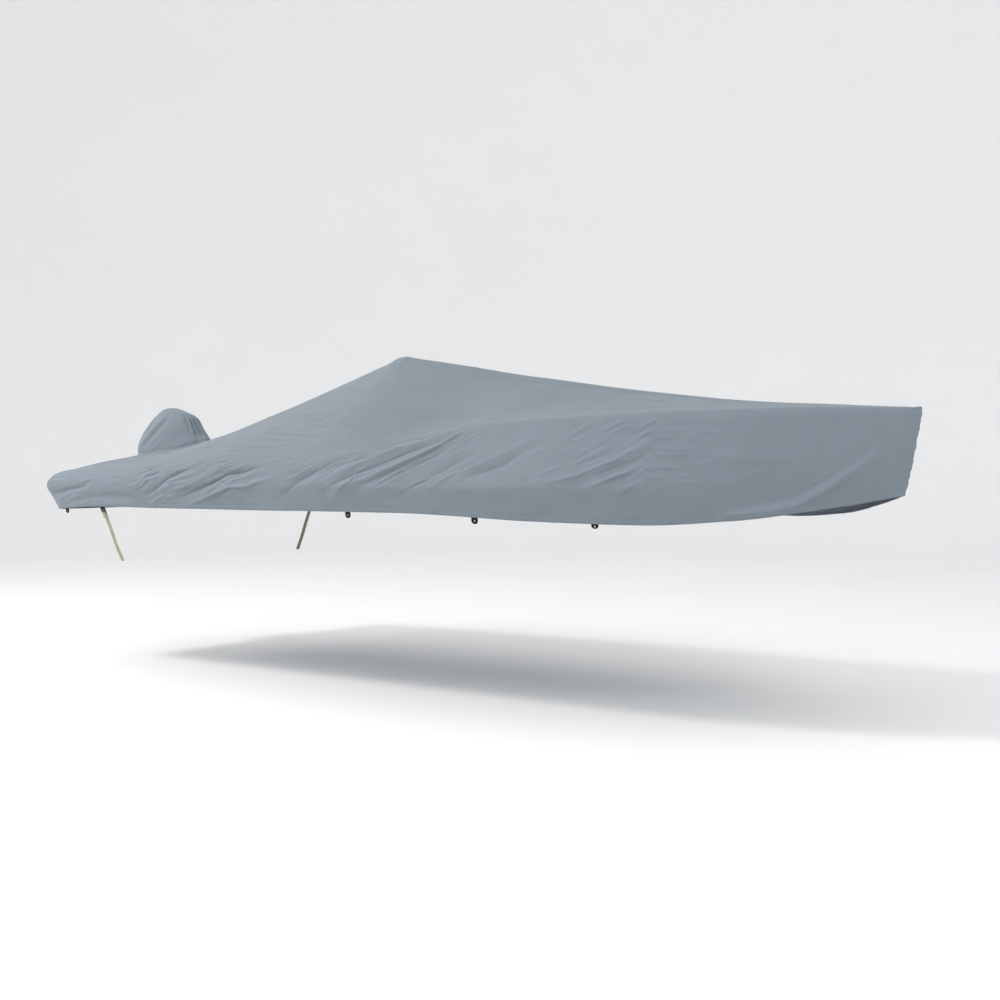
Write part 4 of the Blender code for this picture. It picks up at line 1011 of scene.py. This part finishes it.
def plastic_material():
    n = Nodes("moulded_plastic")
    scuffs = n.ramp(n.noise(n.place, 70.0, 6.0, 0.7), 0.52, 0.7)
    colour = n.colour((0.012, 0.012, 0.013), n.total(1.0, n.product(scuffs, 0.9)))
    return n.finish(colour, n.ramp(scuffs, 0, 1, 0.38, 0.6), n.bump(n.noise(n.place, 900.0, 2.0), 0.0001, 0.6))


def nickel_material():
    n = Nodes("nickel_plate")
    tarnish = n.noise(n.place, 160.0, 4.0)
    colour = n.colour((0.13, 0.127, 0.122), n.spread(tarnish, 0.8, 1.0))
    return n.finish(colour, n.spread(tarnish, 0.28, 0.45), n.bump(tarnish, 0.0001, 0.3), Metallic=1.0)


COVER = cover_material()
BLACK_WEBBING = webbing_material("black_webbing_weave", (0.007, 0.007, 0.008), 0.30)
KHAKI_WEBBING = webbing_material("khaki_webbing_weave", (0.40, 0.38, 0.27), 0.14)
PLASTIC = plastic_material()
NICKEL = nickel_material()

# ---------------------------------------------------------------- tabs, straps and buckles

TAB_WIDTH = 0.045
TAB_THICK = 0.0026
TAB_SEWN = 0.016
TAB_BEHIND = 0.0047  # clear of the hem's turned-up edge
TAB_SIDE_POINTS = 72
TAB_EDGE = 0.0009
TAB_END, TAB_END_POINTS = 0.8, 25  # its rounded end's depth in half widths
TAB_RIPPLE = (0.0006, 140)  # height, and radians for each metre
PORT_CURL = 0.001  # more than the starboard tab's
# The tab's face from the eyelet's rim outward: share of the way to its edge, and depth in thicknesses.
TAB_FACE = ((0, 0.15), (0.06, 0), (0.2, 0), (0.4, 0), (0.6, 0), (0.8, 0), (1, 0))
TAB_SIDE_DEPTH = 0.25
EYELET, EYELET_DOWN = 0.0095, 0.52  # its width, and its place as a share of the tab's drop
# run, drop below the hem, outward curl and the panel that carries it
TABS = {
    "corner": (0.155, 0.040, 0.002, "stern_panel_cloth"),
    "mid": (3.10, 0.042, 0.003, "peak_panel_cloth"),
    "fore": (4.12, 0.042, -0.002, "foredeck_panel_cloth"),
    "bow": (4.92, 0.028, 0.0015, "foredeck_panel_cloth"),
}
# Radius and height of the grommet's outline in millimetres, from its hole round the front to the back.
RING_FRONT = ((4.0, 0.2), (4.2, 0.7), (4.9, 1.0), (5.8, 0.9), (6.6, 0.5), (6.9, 0.1))
RING_BACK = ((6.9, -2.7), (6.5, -3.2), (5.4, -3.5), (4.3, -3.3), (4.0, -2.8))
RING_POINTS, RING_SHARP = 40, 50
PLACE_SPAN, PLACE_STEPS, PLACE_REACH = 0.06, 31, 3
HEM_EDGE = LEVELS_TOP + LEVELS_SIDE + LEVELS_SKIRT + len(HEM_ROWS) - 1


def hem_place(node, guess, side):
    """The hem's edge nearest to a CAD node: the point, the way forward, up the skirt and outward."""
    low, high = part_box(node)
    middle = (np.array(low) + np.array(high)) / 2
    runs = np.linspace(guess - PLACE_SPAN, guess + PLACE_SPAN, PLACE_STEPS)
    points = half_cloth(runs, side).points[:, : HEM_EDGE + 1]
    nearest = np.argmin(np.linalg.norm(points[:, -1, :2] - middle[:2], axis=1))
    k = int(np.clip(nearest, PLACE_REACH, PLACE_STEPS - 1 - PLACE_REACH))
    forward = unit(points[k + PLACE_REACH, -1] - points[k - PLACE_REACH, -1])
    up = points[k, -7] - points[k, -1]
    up = unit(up - forward * (up @ forward))
    return points[k, -1], forward, up, np.cross(up, forward) * side


def tab_outline(drop):
    """Evenly spaced points round the tab: straight sides and a rounded end."""
    half, end_depth = TAB_WIDTH / 2, TAB_WIDTH / 2 * TAB_END
    end = [(half * cos(t), end_depth - drop - end_depth * sin(t)) for t in np.linspace(0, pi, TAB_END_POINTS)]
    line = np.array([(half, TAB_SEWN), *end, (-half, TAB_SEWN), (half, TAB_SEWN)])
    return points_at(line, np.linspace(0, reach_along(line)[-1], TAB_SIDE_POINTS, endpoint=False))


def tie_tab(name, side):
    run, drop, curl, carrier = TABS[name]
    node = f"tie_tab_{name}_{'port' if side > 0 else 'starboard'}"
    middle, forward, up, outward = hem_place(node, run, side)
    outline = tab_outline(drop)
    centre = np.array((0.0, -drop * EYELET_DOWN))
    arms = unit(outline - centre)
    rim, edge_in = centre + arms * EYELET / 2, outline - arms * TAB_EDGE
    face = [(rim + (edge_in - rim) * share, depth) for share, depth in TAB_FACE] + [(outline, TAB_SIDE_DEPTH)]
    rings = face + [(flat, 1 - depth) for flat, depth in face[::-1]]
    place = middle - outward * TAB_BEHIND
    curl += PORT_CURL * (side > 0)

    def bent(flat):
        below = np.clip(-flat[:, 1:] / drop, 0, 1)
        return curl * below**2 + TAB_RIPPLE[0] * np.sin(flat[:, :1] * TAB_RIPPLE[1]) * below

    points = np.array(
        [place + f[:, :1] * forward + f[:, 1:] * up + (bent(f) - depth * TAB_THICK) * outward for f, depth in rings]
    )
    faces = grid_faces(closed(numbered(points), 0, 1), side < 0)
    piece = build(f"{node}_webbing", points, faces, BLACK_WEBBING, {"uv": np.vstack([f for f, _ in rings])})
    hole = place + centre[1] * up + outward * bent(centre[None])[0]
    ring = eyelet_ring(f"{node}_eyelet", hole, forward, up, outward)
    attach(ring, "root")
    ride_cover(piece, node)


def eyelet_ring(name, hole, forward, up, outward):
    turns = np.linspace(0, 2 * pi, RING_POINTS, endpoint=False)[:, None]
    flat = np.cos(turns) * forward + np.sin(turns) * up
    outline = (*RING_FRONT, *RING_BACK)
    points = np.array([hole + flat * radius / 1000 + outward * height / 1000 for radius, height in outline])
    ring = build(name, points, grid_faces(closed(numbered(points), 0, 1), True), NICKEL, sharp=RING_SHARP)
    face_outward(ring)
    return ring


STRAP_RUN = 0.62
STRAP_WIDTH = 0.038
STRAP_THICK = 0.0018
STRAP_LENGTH = 0.46
STRAP_STEP = 0.005
STRAP_LEAN = radians(23.7)
STRAP_WAVE, STRAP_CUP = 0.0022, 0.0012
WAVE_TURNS, CUP_TURNS, SWAY_TURNS = 23, 9, 11  # radians for each metre
CARRIER_END, CARRIER_FOOT, CARRIER_BACK = 0.0256, 0.0005, -0.002
STRAP_FRONT, STRAP_BACK = 0.045, 0.055  # how far the two layers lie together under the buckle
FREE_FROM, FREE_RISE = 0.13, 0.1  # where the strap hangs free and starts to wave
# Half of the webbing's cross-section: places across it in half widths, and how thick it is there.
RIBBON_ACROSS = (-1, -0.97, -0.8, -0.5, -0.2, 0, 0.2, 0.5, 0.8, 0.97, 1)
RIBBON_THICK = (0.35, 0.85, 1, 1, 1, 1, 1, 1, 1, 0.85, 0.35)
BUCKLE_HEIGHT, BUCKLE_THICK = 0.050, 0.006
BUCKLE_BAR = 0.006
BUCKLE_DROP = 0.006
BUCKLE_WELD, BUCKLE_BEVEL = 0.00002, 0.0006
WRAP_GAP = 0.0004
WRAP = BUCKLE_THICK / 2 + WRAP_GAP + STRAP_THICK / 2
WRAP_POINTS = 13


def ribbon(name, path, x_middle, side, material, wave=0.0):
    """Webbing along a side view of (y, z) points: rounded edges, cupped a little, and waving along its length."""
    path = np.array(path, float)
    reach = reach_along(path)
    at = np.unique(np.concatenate([reach, np.arange(0, reach[-1], STRAP_STEP)]))
    line = points_at(path, at)
    ahead = unit(np.gradient(line, axis=0))
    left = np.stack([-ahead[:, 1], ahead[:, 0]], axis=1)
    free = ease((at - FREE_FROM) / FREE_RISE)
    front = list(zip(RIBBON_ACROSS, RIBBON_THICK))
    points, uv = [], []
    for share, face in front + [(s, -h) for s, h in front[::-1]]:
        cup = STRAP_CUP * share**2 * np.sin(at * CUP_TURNS)
        lift = face * STRAP_THICK / 2 + free * (wave * np.sin(at * WAVE_TURNS) + cup)
        side_view = line + left * lift[:, None]
        x = x_middle + share * STRAP_WIDTH / 2 + 0.5 * wave * free * np.sin(at * SWAY_TURNS + 1)
        points.append(np.stack([x, side * side_view[:, 0], side_view[:, 1]], axis=1))
        uv.append(np.stack([np.full(len(at), share * STRAP_WIDTH / 2), at], axis=1))
    numbers = numbered(np.array(points))
    faces = list(grid_faces(closed(numbers, 0), side > 0))
    half = len(front)
    for end in (0, -1):
        edge = numbers[:, end]
        faces += [(edge[j], edge[j + 1], edge[2 * half - 2 - j], edge[2 * half - 1 - j]) for j in range(half - 1)]
    piece = build(name, points, faces, material, {"uv": np.array(uv)})
    face_outward(piece)
    return piece, reach[-1]


def strap_set(side):
    where = "port" if side > 0 else "starboard"
    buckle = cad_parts[f"strap_buckle_{where}"]
    corner_points = np.array([v.co for v in buckle.data.vertices])
    side_view = corner_points[:, 1:] * (side, 1)
    down = np.array((-sin(STRAP_LEAN), -cos(STRAP_LEAN)))
    out = np.array((cos(STRAP_LEAN), -sin(STRAP_LEAN)))
    centre = down * ((side_view @ down).min() - BUCKLE_DROP) + out * ((side_view @ out).min() + BUCKLE_THICK / 2)
    x = (corner_points[:, 0].min() + corner_points[:, 0].max()) / 2
    _, _, up, _ = hem_place(f"strap_tab_{where}", STRAP_RUN, side)
    skirt_up = unit(np.array((side * up[1], up[2])))

    def at(below, outward):
        return centre + down * below + out * outward

    def turn(below, start, end):
        angles = np.linspace(radians(start), radians(end), WRAP_POINTS)
        return [at(below + WRAP * sin(a), WRAP * cos(a)) for a in angles]

    top_bar, low_bar = BUCKLE_DROP + BUCKLE_BAR, BUCKLE_DROP + BUCKLE_HEIGHT - BUCKLE_BAR
    front = centre + out * WRAP
    tab = [front + skirt_up * CARRIER_END, front + skirt_up * CARRIER_FOOT]
    tab += [*turn(top_bar, 0, 180), at(CARRIER_BACK, -WRAP)]
    strap = [at(low_bar + STRAP_FRONT, WRAP), *turn(low_bar, 0, -180)]
    strap += [at(low_bar + STRAP_BACK, -WRAP), at(STRAP_LENGTH, -WRAP)]
    for kind, path, slot, material, wave in (
        ("strap_tab", tab, "black_webbing", BLACK_WEBBING, 0.0),
        ("strap_webbing", strap, "strap_webbing", KHAKI_WEBBING, STRAP_WAVE),
    ):
        piece, length = ribbon(f"{kind}_{where}_webbing", path, x, side, material, wave)
        ride_cover(piece, f"{kind}_{where}")
    weld = buckle.modifiers.new("weld", "WELD")
    weld.merge_threshold = BUCKLE_WELD
    bevel = buckle.modifiers.new("moulded_edges", "BEVEL")
    bevel.width, bevel.segments, bevel.limit_method = BUCKLE_BEVEL, 2, "ANGLE"
    for slot in buckle.material_slots:
        slot.material = PLASTIC


# ---------------------------------------------------------------- the cover's pieces

stern_panel()
cross_panel("quarter_panel", "seam_stern", "seam_quarter")
cross_panel("cockpit_panel", "seam_quarter", "seam_peak")
cross_panel("peak_panel", "seam_peak", "seam_fore", PEAK_STEP)
cross_panel("foredeck_panel", "seam_fore", "seam_bow")
bow_half("starboard", -1)
bow_half("port", 1)
motor_hood()
for side in (-1, 1):
    for name in TABS:
        tie_tab(name, side)
    strap_set(side)

# ---------------------------------------------------------------- studio

FLOOR = -2.31  # the ground under the photo's trailer
FLAT_RADIUS = 16.0
CURVE_RADIUS = 6.0
WALL_TOP = 18.0
CURVE_STEPS, ROUND_STEPS = 12, 96
PAINT = (0.92, 0.92, 0.92)
# Name, place, aim, size, watts and colour.
LIGHTS = (
    ("key", (-5.2, -6.2, 7.2), (0.6, 0.0, -0.6), 1.8, 520, (1.0, 0.99, 0.98)),
    ("stern", (-6.5, -5.0, 3.0), (-2.3, 0.0, -0.3), 2.0, 165, (1.0, 0.99, 0.98)),
    ("fill", (9.5, -5.5, 4.0), (2.5, 0.0, -0.8), 4.0, 300, (0.98, 0.99, 1.0)),
)
SKY, SKY_STRENGTH = (0.97, 0.985, 1.0, 1.0), 0.88
FOCAL_PIXELS, PICTURE_PIXELS = 1400, 1000
CAMERA_AT, CAMERA_DOWN, CAMERA_AZIMUTH = (6.56, -7.86, -0.8076), 1.31, 36


def studio():
    """A pale floor that curves up into a wall all round."""
    turns = np.linspace(0, pi / 2, CURVE_STEPS + 1)
    profile = [(FLAT_RADIUS + CURVE_RADIUS * sin(t), CURVE_RADIUS * (1 - cos(t))) for t in turns]
    profile.append((FLAT_RADIUS + CURVE_RADIUS, WALL_TOP))
    around = np.linspace(0, 2 * pi, ROUND_STEPS, endpoint=False)
    points = np.array([[(r * cos(a), r * sin(a), FLOOR + z) for a in around] for r, z in profile])
    numbers = numbered(points)
    n = Nodes("studio_paint")
    colour = n.colour(PAINT, n.spread(n.noise(n.place, 0.6), 0.99, 1.0))
    paint = n.finish(colour, 0.9, n.bump(n.noise(n.place, 30.0), 0.0005, 0.1))
    floor = build("studio_floor", points, [numbers[0], *grid_faces(closed(numbers, 1), True)], paint)
    face_outward(floor)


def put_object(name, data, place, turn):
    holder = bpy.data.objects.new(name, data)
    holder.location, holder.rotation_euler = place, turn
    bpy.context.scene.collection.objects.link(holder)
    return holder


studio()
for name, place, aim, size, watts, colour in LIGHTS:
    light = bpy.data.lights.new(name, "AREA")
    light.shape, light.size, light.energy, light.color = "SQUARE", size, watts, colour
    put_object(name, light, place, (Vector(aim) - Vector(place)).to_track_quat("-Z", "Y").to_euler())
world = bpy.data.worlds.new("pale_sky")
world.use_nodes = True
sky = world.node_tree.nodes["Background"].inputs
sky[0].default_value, sky[1].default_value = SKY, SKY_STRENGTH
bpy.context.scene.world = world
bpy.context.scene.view_settings.view_transform = "Standard"

camera = bpy.data.cameras.new("camera")
camera.lens = camera.sensor_width * FOCAL_PIXELS / PICTURE_PIXELS
turn = (radians(90 - CAMERA_DOWN), 0, radians(CAMERA_AZIMUTH))
bpy.context.scene.camera = put_object("camera", camera, CAMERA_AT, turn)
